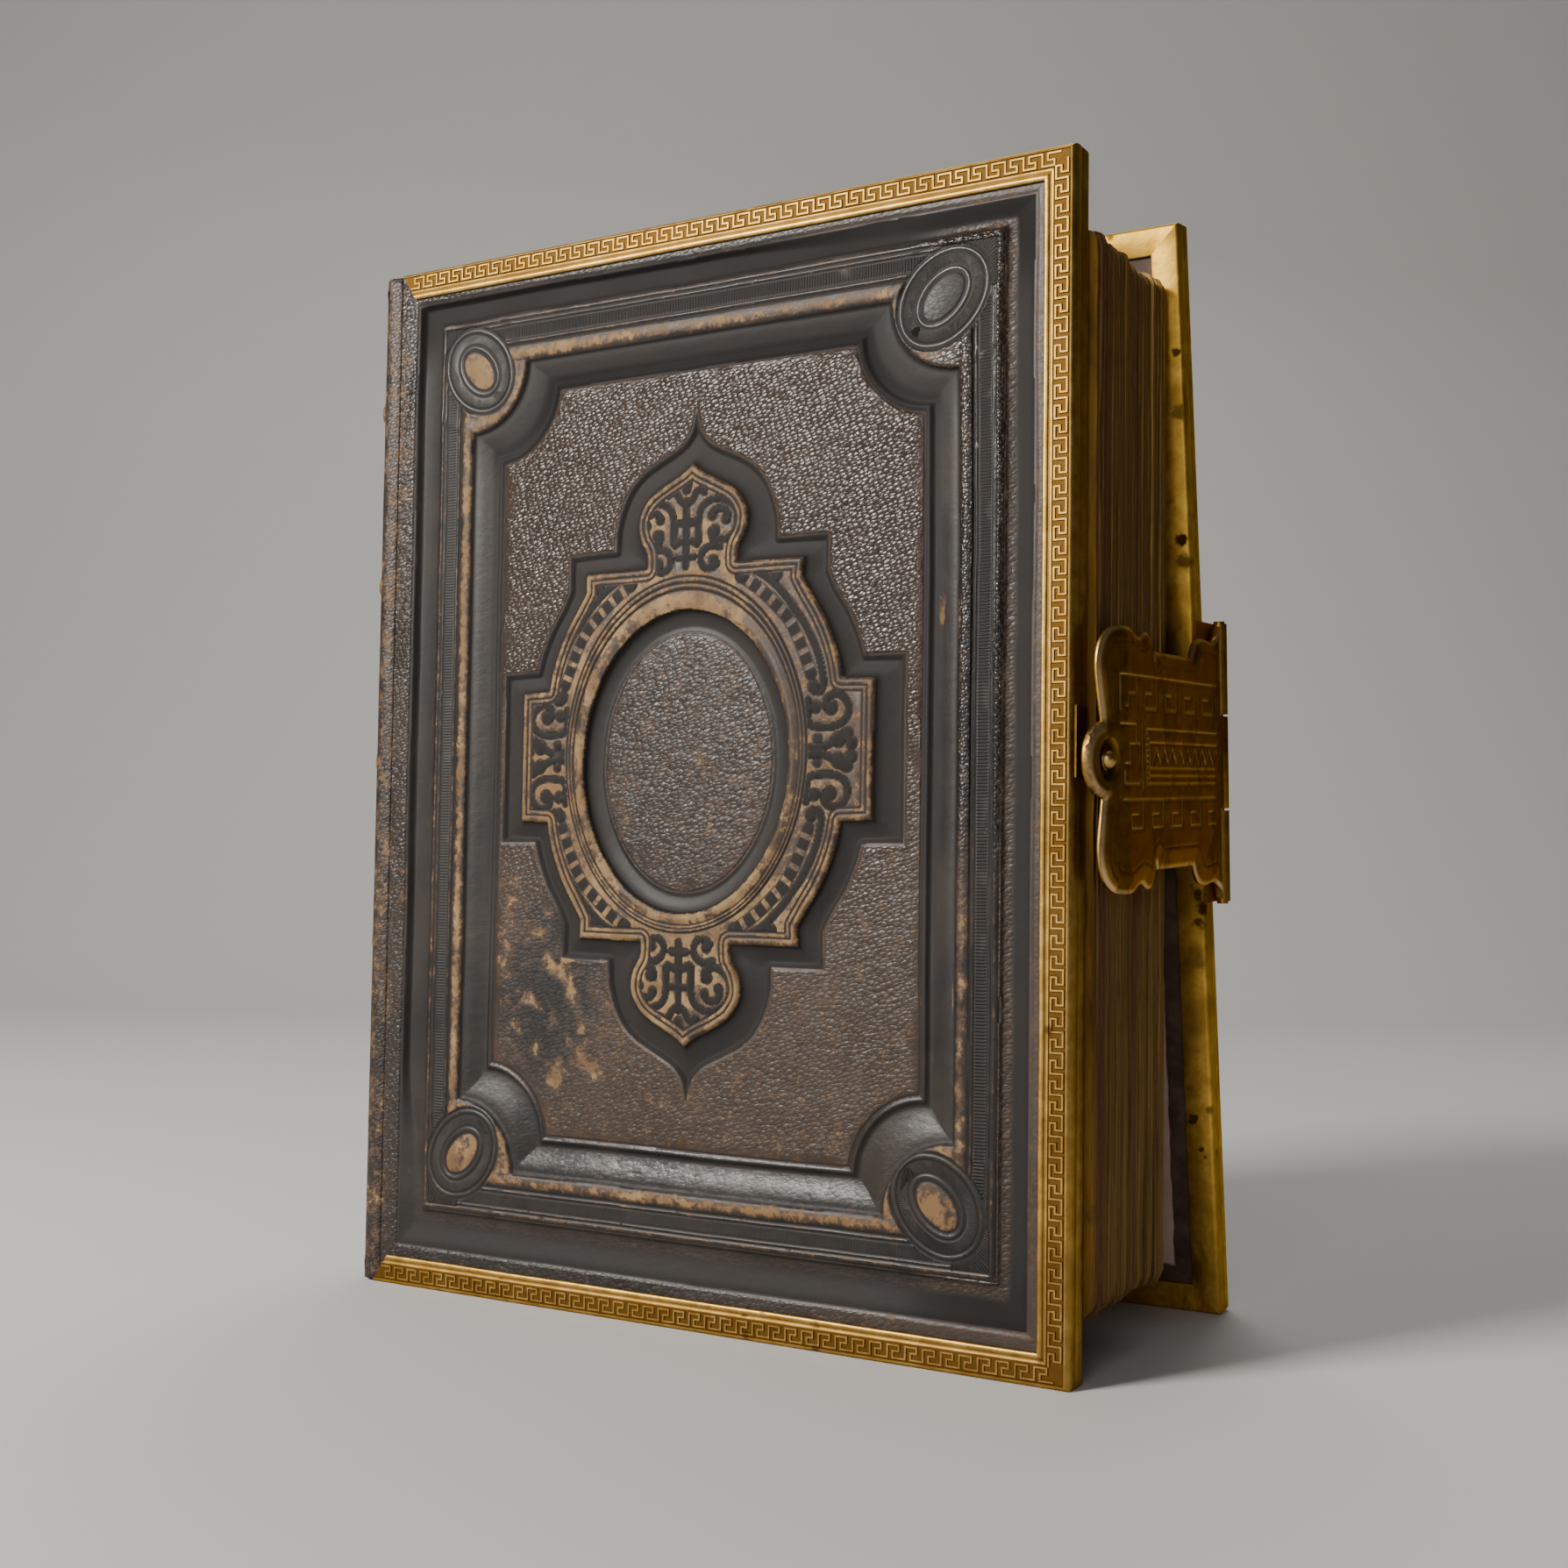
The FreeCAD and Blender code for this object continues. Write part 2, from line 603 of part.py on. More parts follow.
# dish and hole for the knob in the round tab
KU = D("knob_out")
tab_out = -SB + CS - 2.45 * (KU - 39.3) / 9.6       # tab's outer face there
tab_in = tab_out - CS
DISH = 0.6
sk = new_sketch(strap, "strap_dish", "YZ_Plane", off=1.5)
sk.addGeometry(Part.Circle(V(-KU, 0, 0), V(0, 0, 1), D("dish_rad")), False)
pocket(strap, sk, "strap_dish_cut", 1.5 - (tab_out - DISH))
sk = new_sketch(strap, "strap_knob_hole", "YZ_Plane")
sk.addGeometry(Part.Circle(V(-KU, 0, 0), V(0, 0, 1), D("shank_rad")), False)
pocket(strap, sk, "strap_knob_hole_cut", both=True)
strap.Placement = CLASP

# domed knob riveted through the tab
dome_x = tab_out - DISH
ball = doc.addObject("Part::Sphere", "knob_ball")
ball.setExpression("Radius", "Dims.knob_rad")
ball.Placement = FreeCAD.Placement(V(dome_x + 0.15, -KU, 0),
                                   FreeCAD.Rotation())
keep = doc.addObject("Part::Box", "knob_keep")
keep.Length, keep.Width, keep.Height = 3.0, 4.0, 4.0
keep.Placement = FreeCAD.Placement(V(dome_x, -KU - 2.0, -2.0),
                                   FreeCAD.Rotation())
dome = doc.addObject("Part::Common", "knob_dome")
dome.Base, dome.Tool = ball, keep
shank = doc.addObject("Part::Cylinder", "knob_shank")
shank.setExpression("Radius", "Dims.shank_rad")
shank.Height = dome_x + 0.4 - (tab_in - 0.15)
shank.Placement = FreeCAD.Placement(V(tab_in - 0.15, -KU, 0),
                                    FreeCAD.Rotation(V(0, 1, 0), 90))
knob = doc.addObject("Part::Fuse", "clasp_knob")
knob.Label = "clasp_knob"
knob.Base, knob.Tool = dome, shank
doc.recompute()
knob.Placement = CLASP

# hinge leaf on the edge of the rear board, with the two outer knuckles
leaf = new_body("clasp_hinge_leaf")
LS = D("leaf_sheet")
wall = D("rear_shift") + W - D("pivot_x")            # rear board's edge
sk = new_sketch(leaf, "leaf_outline", "YZ_Plane", off=wall)
lines(sk, [(0, BH), (-7.3, BH), (-4.1, -BH), (0, -BH)])
pad(leaf, sk, "leaf_plate", LS, "Dims.leaf_sheet")
sk = new_sketch(leaf, "leaf_knuckles", off=-BH, expr="-Dims.barrel_half")
gi = sk.addGeometry(Part.Circle(V(0, 0, 0), V(0, 0, 1), KR), False)
sk.addConstraint(Sketcher.Constraint("Coincident", gi, 3, -1, 1))
ci = sk.addConstraint(Sketcher.Constraint("Radius", gi, KR))
sk.setExpression("Constraints[%d]" % ci, "Dims.knuckle_rad")
pad(leaf, sk, "leaf_barrel", 2 * BH, "2 * Dims.barrel_half")
sk = new_sketch(leaf, "leaf_gap", "YZ_Plane")
lines(sk, [(2.2, -MH - KS), (2.2, MH + KS), (-2.2, MH + KS),
           (-2.2, -MH - KS)])
pocket(leaf, sk, "leaf_gap_cut", both=True)
sk = new_sketch(leaf, "leaf_bore")
gi = sk.addGeometry(Part.Circle(V(0, 0, 0), V(0, 0, 1), PR + PF), False)
sk.addConstraint(Sketcher.Constraint("Coincident", gi, 3, -1, 1))
ci = sk.addConstraint(Sketcher.Constraint("Radius", gi, PR + PF))
sk.setExpression("Constraints[%d]" % ci, "Dims.pin_rad + Dims.pin_fit")
pocket(leaf, sk, "leaf_bore_cut", both=True)
leaf.Placement = CLASP

# hinge pin, held by its upset ends
pin = doc.addObject("Part::Cylinder", "pin_rod")
pin.setExpression("Radius", "Dims.pin_rad")
pin.Height = 2 * (BH + 0.3)
pin.Placement = FreeCAD.Placement(V(0, 0, -BH - 0.3), FreeCAD.Rotation())
end_a = doc.addObject("Part::Cylinder", "pin_head_low")
end_a.Radius, end_a.Height = 0.8, 0.35
end_a.Placement = FreeCAD.Placement(V(0, 0, -BH - 0.35), FreeCAD.Rotation())
end_b = doc.addObject("Part::Cylinder", "pin_head_high")
end_b.Radius, end_b.Height = 0.8, 0.35
end_b.Placement = FreeCAD.Placement(V(0, 0, BH), FreeCAD.Rotation())
part_pin = doc.addObject("Part::MultiFuse", "clasp_hinge_pin")
part_pin.Label = "clasp_hinge_pin"
part_pin.Shapes = [pin, end_a, end_b]
doc.recompute()
part_pin.Placement = CLASP

# three flush pins hold the leaf to the rear board's edge
pins = []
for i, zz in enumerate((65.5, 80.5, 95.5)):
    p = doc.addObject("Part::Cylinder", "leaf_pin_%d" % (i + 1))
    p.Radius, p.Height = 0.55, 4.0 + LS
    p.Placement = REAR.multiply(FreeCAD.Placement(
        V(W - 4.0, T / 2, zz), FreeCAD.Rotation(V(0, 1, 0), 90)))
    pins.append(p)
leaf_pins = doc.addObject("Part::Compound", "clasp_leaf_pins")
leaf_pins.Label = "clasp_leaf_pins"
leaf_pins.Links = pins
doc.recompute()


def drilled(name, obj):
    obj.Label = name + "_undrilled"
    return cut(name, obj, leaf_pins)


rear_board_d = drilled("rear_board_drilled", rear_board)
rear_leather_d = drilled("rear_leather_drilled", rear_leather)
rear_rim_d = drilled("rear_rim_drilled", rear_rims[2])
leaf_d = drilled("leaf_drilled", leaf)
rear_board_d.Label = "rear_board"
rear_leather_d.Label = "rear_leather"
rear_rim_d.Label = "rear_rim_fore_edge"
leaf_d.Label = "clasp_hinge_leaf"

# catch plate on the front cover's edge, behind the tab
catch_box = doc.addObject("Part::Box", "catch_blank")
catch_box.setExpression("Length", "Dims.catch_thick")
catch_box.Width, catch_box.Height = 3.4, 9.0
catch_box.Placement = FreeCAD.Placement(
    V(W - OX, 0.8 - OY, D("pivot_z") - 4.5), FreeCAD.Rotation())
catch_hole = doc.addObject("Part::Cylinder", "catch_hole")
catch_hole.Radius, catch_hole.Height = 1.0, 2.0
catch_hole.Placement = FreeCAD.Placement(
    V(W - 1.0 - OX, 2.6 - OY, D("pivot_z")), FreeCAD.Rotation(V(0, 1, 0), 90))
catch = cut("catch_plate", catch_box, catch_hole)

doc.recompute()

SUBPARTS = [pages, spine_lining, spine_leather,
            front_board, front_leather, front_lining] + front_rims + [catch] \
    + [rear_board_d, rear_leather_d, rear_lining] + rear_rims[:2] \
    + [rear_rim_d, leaf_d, leaf_pins, part_pin, strap, knob]

for obj in doc.Objects:
    bad = [s for s in obj.State if s in ("Invalid", "Error")]
    if bad:
        raise RuntimeError("%s is %s" % (obj.Name, bad))

box = FreeCAD.BoundBox()
for obj in SUBPARTS:
    shape = obj.Shape
    if shape.isNull() or not shape.isValid():
        raise RuntimeError(obj.Label + " has a bad shape")
    box.add(shape.BoundBox)
for obj in SUBPARTS:
    obj.Shape.exportStep(os.path.join("parts", obj.Label + ".step"))
    print("%-22s solids %d  volume %9.1f" % (
        obj.Label, len(obj.Shape.Solids), obj.Shape.Volume))
print("box", [round(v, 2) for v in (box.XMin, box.YMin, box.ZMin,
                                    box.XMax, box.YMax, box.ZMax)])
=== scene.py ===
import bpy
import bmesh
import json
import math
import numpy as np
from mathutils import Matrix, Vector, geometry


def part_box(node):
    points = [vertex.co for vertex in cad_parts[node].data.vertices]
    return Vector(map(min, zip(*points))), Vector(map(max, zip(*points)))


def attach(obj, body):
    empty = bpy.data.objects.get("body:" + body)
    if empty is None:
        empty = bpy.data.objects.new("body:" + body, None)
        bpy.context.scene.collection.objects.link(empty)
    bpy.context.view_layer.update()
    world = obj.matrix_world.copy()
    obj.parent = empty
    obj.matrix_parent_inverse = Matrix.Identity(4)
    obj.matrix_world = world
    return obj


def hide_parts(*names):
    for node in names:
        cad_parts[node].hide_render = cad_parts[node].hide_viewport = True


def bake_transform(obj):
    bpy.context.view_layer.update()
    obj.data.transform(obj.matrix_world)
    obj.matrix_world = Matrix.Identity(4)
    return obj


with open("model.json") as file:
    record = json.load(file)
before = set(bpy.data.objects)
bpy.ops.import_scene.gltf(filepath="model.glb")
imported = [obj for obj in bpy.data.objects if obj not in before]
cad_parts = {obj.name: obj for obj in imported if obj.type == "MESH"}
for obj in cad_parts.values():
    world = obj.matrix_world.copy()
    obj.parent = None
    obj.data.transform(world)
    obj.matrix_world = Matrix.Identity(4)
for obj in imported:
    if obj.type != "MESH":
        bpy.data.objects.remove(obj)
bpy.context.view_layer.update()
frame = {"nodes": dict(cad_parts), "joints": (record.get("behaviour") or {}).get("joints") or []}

# Photo album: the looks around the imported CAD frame.  Lengths below are in
# millimetres in album coordinates (x from the spine edge of the front board,
# y from its outer face, z up) unless a line says otherwise; P() turns them
# into metres in the row frame.

# ------------------------------------------------------------ frame facts
_lo, _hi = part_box("front_leather")
OX = 0.5 - _lo.x * 1000.0
_l2, _h2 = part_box("front_rim_fore_edge")
OY = -_l2.y * 1000.0
W = _h2.x * 1000.0 + OX
H = _h2.z * 1000.0
T = 5.0
_j = {j["name"]: j for j in frame["joints"]}
_ax = _j["rear_cover_hinge"]["axis"]
LEAN = math.asin(min(1.0, abs(_ax[1])))
REAR_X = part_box("rear_leather")[0].x * 1000.0 + OX - 0.5
# inner foot of the rear board, from the front face
REAR_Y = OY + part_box("rear_rim_fore_edge")[1].y * 1000.0 - T * math.cos(LEAN)
_p = _j["clasp_hinge"]["pos_m"]
PIV = (_p[0] * 1000.0 + OX, _p[1] * 1000.0 + OY, _p[2] * 1000.0)
CLEAN = math.asin(min(1.0, abs(_j["clasp_hinge"]["axis"][1])))


def P(a):
    """album millimetres to row-frame metres"""
    a = np.asarray(a, float)
    return (a - np.array([OX, OY, 0.0])) * 0.001


def rear(a):
    """rear board's own millimetres (x, y, z) to album millimetres"""
    a = np.asarray(a, float)
    c, s = math.cos(LEAN), math.sin(LEAN)
    out = np.empty_like(a)
    out[..., 0] = a[..., 0] + REAR_X
    out[..., 1] = REAR_Y + a[..., 1] * c - a[..., 2] * s
    out[..., 2] = a[..., 1] * s + a[..., 2] * c
    return out


def clasp(a):
    """clasp's own millimetres to album millimetres"""
    a = np.asarray(a, float)
    c, s = math.cos(CLEAN), math.sin(CLEAN)
    out = np.empty_like(a)
    out[..., 0] = a[..., 0] + PIV[0]
    out[..., 1] = PIV[1] + a[..., 1] * c - a[..., 2] * s
    out[..., 2] = PIV[2] + a[..., 1] * s + a[..., 2] * c
    return out


# ------------------------------------------------------------ maths
def ss(a, b, x):
    t = np.clip((x - a) / (b - a), 0.0, 1.0)
    return t * t * (3 - 2 * t)


def hump(x, c, w):
    t = np.clip(np.abs(x - c) / w, 0.0, 1.0)
    return (1 - t * t) ** 2


def _hash(i, j, seed):
    n = (i * 374761393 + j * 668265263 + seed * 974634777) & 0xffffffff
    n = ((n ^ (n >> 13)) * 1274126177) & 0xffffffff
    return ((n ^ (n >> 16)) & 0xffff) / 65535.0


def noise(x, y, seed=0):
    x = np.asarray(x, float)
    y = np.asarray(y, float)
    xi, yi = np.floor(x).astype(np.int64), np.floor(y).astype(np.int64)
    fx, fy = x - xi, y - yi
    fx, fy = fx * fx * (3 - 2 * fx), fy * fy * (3 - 2 * fy)
    a = _hash(xi, yi, seed) * (1 - fx) + _hash(xi + 1, yi, seed) * fx
    b = _hash(xi, yi + 1, seed) * (1 - fx) + _hash(xi + 1, yi + 1, seed) * fx
    return a * (1 - fy) + b * fy


def fbm(x, y, seed=0, octaves=3):
    out, amp, tot = 0.0, 1.0, 0.0
    for k in range(octaves):
        out = out + amp * noise(x * 2 ** k, y * 2 ** k, seed + 17 * k)
        tot += amp
        amp *= 0.5
    return out / tot


def sd_poly(px, py, pts):
    d = np.full(px.shape, 1e9)
    inside = np.zeros(px.shape, bool)
    n = len(pts)
    for i in range(n):
        x0, y0 = pts[i]
        x1, y1 = pts[(i + 1) % n]
        ex, ey = x1 - x0, y1 - y0
        wx, wy = px - x0, py - y0
        t = np.clip((wx * ex + wy * ey) / max(ex * ex + ey * ey, 1e-12), 0, 1)
        dx, dy = wx - ex * t, wy - ey * t
        d = np.minimum(d, dx * dx + dy * dy)
        if abs(y1 - y0) > 1e-9:
            c = (y0 > py) != (y1 > py)
            inside ^= c & (px < ex * (py - y0) / (y1 - y0) + x0)
    return np.where(inside, -1.0, 1.0) * np.sqrt(d)


def sd_rect(px, py, l, b, r, t):
    dx = np.maximum(l - px, px - r)
    dy = np.maximum(b - py, py - t)
    return np.where((dx > 0) & (dy > 0), np.hypot(np.maximum(dx, 0), np.maximum(dy, 0)),
                    np.maximum(dx, dy))


def box_rect(px, py, l, b, r, t):
    """like sd_rect, with mitred corners outside as well"""
    return np.maximum(np.maximum(l - px, px - r), np.maximum(b - py, py - t))


def e_dist(u, v, a, b):
    """about the distance from an ellipse, negative inside"""
    q = np.sqrt((u / a) ** 2 + (v / b) ** 2) + 1e-9
    g = np.sqrt((u / a ** 2) ** 2 + (v / b ** 2) ** 2) / q + 1e-9
    return (q - 1) / g


def spline(pts, n=6, closed=False):
    """Catmull-Rom through pts"""
    p = [np.array(q, float) for q in pts]
    out = []
    m = len(p)
    last = m if closed else m - 1
    for i in range(last):
        if closed:
            p0, p1, p2, p3 = p[(i - 1) % m], p[i], p[(i + 1) % m], p[(i + 2) % m]
        else:
            p0 = p[i - 1] if i else p[0] * 2 - p[1]
            p1, p2 = p[i], p[i + 1]
            p3 = p[i + 2] if i + 2 < m else p[-1] * 2 - p[-2]
        for k in range(n):
            t = k / n
            out.append(0.5 * ((2 * p1) + (-p0 + p2) * t +
                              (2 * p0 - 5 * p1 + 4 * p2 - p3) * t * t +
                              (-p0 + 3 * p1 - 3 * p2 + p3) * t ** 3))
    if not closed:
        out.append(p[-1])
    return [tuple(q) for q in out]


def near_strokes(px, py, strokes, reach=0.8):
    """distance from a set of polylines, up to reach"""
    d = np.full(px.shape, reach * reach)
    for s in strokes:
        a = np.array(s, float)
        lo, hi = a.min(0) - reach, a.max(0) + reach
        idx = np.nonzero((px > lo[0]) & (px < hi[0]) & (py > lo[1]) & (py < hi[1]))
        if not len(idx[0]):
            continue
        qx, qy, dd = px[idx], py[idx], d[idx]
        for i in range(len(a) - 1):
            x0, y0 = a[i]
            ex, ey = a[i + 1] - a[i]
            t = np.clip(((qx - x0) * ex + (qy - y0) * ey) / max(ex * ex + ey * ey, 1e-12), 0, 1)
            dd = np.minimum(dd, (qx - x0 - ex * t) ** 2 + (qy - y0 - ey * t) ** 2)
        d[idx] = dd
    return np.sqrt(d)


# ------------------------------------------------------------ mesh helpers
COL = bpy.context.scene.collection


def mesh_obj(name, verts, faces, smooth=True):
    """verts in row-frame metres"""
    me = bpy.data.meshes.new(name)
    if isinstance(faces, np.ndarray):
        verts = np.asarray(verts, np.float32)
        k = faces.shape[1]
        me.vertices.add(len(verts))
        me.vertices.foreach_set("co", verts.ravel())
        me.loops.add(faces.size)
        me.loops.foreach_set("vertex_index", faces.astype(np.int32).ravel())
        me.polygons.add(len(faces))
        me.polygons.foreach_set("loop_start", (np.arange(len(faces)) * k).astype(np.int32))
        me.update(calc_edges=True)
    else:
        me.from_pydata([tuple(v) for v in verts], [], faces)
    me.validate()
    if smooth:
        me.polygons.foreach_set("use_smooth", np.ones(len(me.polygons), bool))
    o = bpy.data.objects.new(name, me)
    COL.objects.link(o)
    return o


def coords(o):
    co = np.zeros(len(o.data.vertices) * 3, np.float32)
    o.data.vertices.foreach_get("co", co)
    return co.reshape(-1, 3).astype(float)


def put_attr(o, name, values):
    at = o.data.attributes.get(name) or o.data.attributes.new(name, "FLOAT", "POINT")
    at.data.foreach_set("value", np.asarray(values, np.float32).ravel())


def apply_mods(o):
    dg = bpy.context.evaluated_depsgraph_get()
    me = bpy.data.meshes.new_from_object(o.evaluated_get(dg))
    o.modifiers.clear()
    o.data = me
    return o


def decimate(o, target):
    n = sum(len(p.vertices) - 2 for p in o.data.polygons)
    if n > target:
        m = o.modifiers.new("dec", "DECIMATE")
        m.decimate_type = "COLLAPSE"
        m.ratio = target / n
        m.use_collapse_triangulate = True
        apply_mods(o)
    return o


def sharp_by_angle(o, deg):
    o.data.polygons.foreach_set("use_smooth", np.ones(len(o.data.polygons), bool))
    bm = bmesh.new()
    bm.from_mesh(o.data)
    lim = math.radians(deg)
    for e in bm.edges:
        if len(e.link_faces) == 2 and e.calc_face_angle(0.0) > lim:
            e.smooth = False
    bm.to_mesh(o.data)
    bm.free()


def recalc(o):
    bm = bmesh.new()
    bm.from_mesh(o.data)
    bmesh.ops.recalc_face_normals(bm, faces=bm.faces)
    bm.to_mesh(o.data)
    bm.free()


def grid_faces(nr, nc, base=0, closed_c=False):
    r = np.arange(nr - 1)[:, None]
    cn = nc if closed_c else nc - 1
    c = np.arange(cn)[None, :]
    a = base + r * nc + c
    b = base + r * nc + (c + 1) % nc
    return np.stack([a, b, b + nc, a + nc], -1).reshape(-1, 4)


def relief_solid(name, gx, gz, hy, back, to_frame, target, side_drop=1.0, wall=None):
    """A closed plate: grid gx, gz (2-D), outer surface at depth hy, flat back.
    to_frame turns (x, depth, z) into album millimetres."""
    nr, nc = gx.shape
    front = np.stack([gx, hy, gz], -1).reshape(-1, 3)
    idx = np.arange(nr * nc).reshape(nr, nc)
    loop = np.concatenate([idx[0, :], idx[1:, -1], idx[-1, -2::-1], idx[-2:0:-1, 0]])
    lp = front[loop]
    rings, verts = [loop], [front]
    n0 = len(front)
    cx, cz = lp[:, 0].mean(), lp[:, 2].mean()
    steps = wall or [(0.0, 0.5), (0.0, 1.0)]
    for inset, k in steps:
        q = lp.copy()
        q[:, 1] = lp[:, 1] + (back - lp[:, 1]) * k
        q[:, 0] -= np.sign(q[:, 0] - cx) * inset * (np.abs(q[:, 0] - cx) > (lp[:, 0].max() - cx) - 0.01)
        q[:, 2] -= np.sign(q[:, 2] - cz) * inset * (np.abs(q[:, 2] - cz) > (lp[:, 2].max() - cz) - 0.01)
        rings.append(np.arange(n0, n0 + len(q)))
        verts.append(q)
        n0 += len(q)
    verts = np.concatenate(verts)
    faces = [grid_faces(nr, nc)]
    m = len(loop)
    for a, b in zip(rings[:-1], rings[1:]):
        i = np.arange(m)
        j = (i + 1) % m
        faces.append(np.stack([a[j], a[i], b[i], b[j]], -1))
    last = verts[rings[-1]]
    tri = geometry.delaunay_2d_cdt([Vector((p[0], p[2])) for p in last],
                                   [], [list(range(m))], 1, 1e-7)
    quads = np.concatenate(faces)
    tris = []
    src = [o_[0] if o_ else None for o_ in tri[3]]
    ok = all(s is not None for s in src)
    V = to_frame(verts)
    me = bpy.data.meshes.new(name)
    fl = [tuple(int(v) for v in f) for f in quads]
    if ok:
        for f in tri[2]:
            tris.append(tuple(int(rings[-1][src[v]]) for v in f))
    fl += tris
    o = mesh_from_mixed(name, P(V), quads, tris)
    return decimate(o, target) if target else o


def mesh_from_mixed(name, verts, quads, tris):
    me = bpy.data.meshes.new(name)
    verts = np.asarray(verts, np.float32)
    tris = np.array(tris, np.int32).reshape(-1, 3)
    me.vertices.add(len(verts))
    me.vertices.foreach_set("co", verts.ravel())
    loops = np.concatenate([quads.astype(np.int32).ravel(), tris.ravel()])
    me.loops.add(len(loops))
    me.loops.foreach_set("vertex_index", loops)
    me.polygons.add(len(quads) + len(tris))
    starts = np.concatenate([np.arange(len(quads)) * 4,
                             len(quads) * 4 + np.arange(len(tris)) * 3]).astype(np.int32)
    me.polygons.foreach_set("loop_start", starts)
    me.update(calc_edges=True)
    me.validate()
    o = bpy.data.objects.new(name, me)
    COL.objects.link(o)
    me.polygons.foreach_set("use_smooth", np.ones(len(me.polygons), bool))
    return o


def concat(parts):
    """joins (verts, quads) pairs"""
    vs, fs, n = [], [], 0
    for v, f in parts:
        vs.append(np.asarray(v, float))
        fs.append(np.asarray(f) + n)
        n += len(v)
    return np.concatenate(vs), np.concatenate(fs)


# ------------------------------------------------------------ the relief
CX, CY = 56.75, 79.2
FR = (17.05, 18.5, 98.05, 138.5)        # inside of the frame, l b r t
PN = (22.4, 24.1, 92.8, 133.7)          # pebbled panel
OUT = (10.45, 11.9, 104.2, 145.9)       # outside of the frame
MAR = (5.8, 6.4, 108.4, 149.4)          # inside of the pebbled margin
R_LOBE, R_BITE, E_BITE = 10.1, 11.1, 0.95
D_PANEL, D_DEEP, D_FLOOR = 1.5, 2.0, 1.7
TOP = 0.45


def mirror4(q):
    tr = list(q)
    br = [(x, -y) for x, y in reversed(q)]
    bl = [(-x, -y) for x, y in q]
    tl = [(-x, y) for x, y in reversed(q)]
    out = []
    for p in tr + br + bl + tl:
        if not out or math.hypot(p[0] - out[-1][0], p[1] - out[-1][1]) > 1e-6:
            out.append(p)
    if math.hypot(out[0][0] - out[-1][0], out[0][1] - out[-1][1]) < 1e-6:
        out.pop()
    return out


MEDAL = mirror4(
    spline([(0, 40.7), (1.6, 39.5), (4.6, 38.0), (7.2, 36.4), (8.8, 34.2), (9.1, 32.2),
            (8.6, 30.2), (7.7, 28.7), (7.5, 27.6)], 4)
    + [(7.5, 26.4), (18.1, 26.3), (18.0, 23.7)]
    + spline([(18.0, 23.7), (19.4, 21.4), (21.4, 18.3), (23.0, 14.9), (24.0, 11.8), (24.4, 9.6)], 4)
    + [(29.2, 9.4)])
MOAT = mirror4(
    spline([(0, 48.5), (0.35, 46.6), (0.9, 45.2), (2.0, 43.8), (3.8, 42.7), (6.4, 41.5), (8.8, 40.2),
            (10.9, 38.3), (12.4, 35.7), (13.3, 32.8), (13.5, 30.6)], 4)
    + [(13.5, 29.3), (21.6, 29.2), (21.5, 24.3)]
    + spline([(21.5, 24.3), (22.6, 22.0), (24.7, 18.8), (26.3, 15.4), (27.0, 13.2)], 4)
    + [(27.2, 12.5), (33.3, 12.4)])
# the stamped pattern and the well sit a little off the middle of the medallion
PTU, PTV = -0.9, -0.1
OVU, OVV = -0.8, -1.1
OVA, OVB = 17.1, 21.3
RGA, RGB = 20.05, 25.0                  # outer line of the mouldings round the well
FLA, FLB = 14.0, 18.3


def both(strokes, flip=True):
    out = []
    for s in strokes:
        out.append(s)
        out.append([(-x, y) for x, y in s])
    if flip:
        out += [[(x, -y) for x, y in s] for s in list(out)]
    return out


# dark raised bands of the pattern, u across from its middle, v up
LINES = both([spline(s, 4) for s in [
    # head lobe: large scroll with its inner curls, half of the lily, lower scroll
    [(2.1, 29.7), (2.1, 32.9), (2.7, 34.6), (4.4, 35.5), (6.5, 35.3), (8.0, 34.1), (8.5, 32.4), (8.05, 30.8),
     (6.8, 29.8), (5.3, 29.7), (4.3, 30.3), (4.2, 31.2)],
    [(4.3, 33.5), (5.0, 34.1), (6.2, 34.0), (6.9, 33.2), (6.8, 32.4)],
    [(0.3, 35.2), (1.1, 35.8), (1.6, 36.7), (2.4, 37.0), (3.0, 36.6)],
    [(5.7, 28.7), (4.1, 29.0), (2.8, 28.2), (2.5, 27.0), (3.1, 26.0), (4.3, 25.8), (5.2, 26.4)],
    [(0.0, 29.9), (1.0, 29.8), (1.8, 29.4)],
    # band along the outer side of the spots, hooked at both ends
    [(8.7, 24.4), (9.2, 25.1), (10.4, 25.2), (12.0, 24.7), (14.1, 23.3), (16.3, 21.2), (18.0, 19.1),
     (19.4, 17.3), (20.7, 15.0), (21.7, 12.7), (22.3, 10.4), (22.5, 8.9), (22.0, 8.0), (21.1, 8.0)],
    # arms: scroll, leaves towards the middle
    [(20.1, 6.8), (20.1, 4.6), (20.6, 3.5), (22.4, 3.2), (24.5, 3.3), (26.0, 4.2), (26.4, 5.7), (25.7, 7.0),
     (24.3, 7.6), (23.0, 7.0), (22.8, 5.9)],
    [(20.3, 0.5), (22.4, 0.5), (24.2, 1.2), (25.6, 2.2)],
]])
LINES += [spline([(0.0, 35.6 * q_), (0.0, 30.0 * q_)], 2) for q_ in (1, -1)]
LINES += [spline([(-1.3, 32.5 * q_), (1.3, 32.5 * q_)], 2) for q_ in (1, -1)]
LINES += [spline([(0.0, 29.4 * q_), (0.0, 26.3 * q_)], 2) for q_ in (1, -1)]
LINES += [spline([(-1.3, 27.6 * q_), (1.3, 27.6 * q_)], 2) for q_ in (1, -1)]
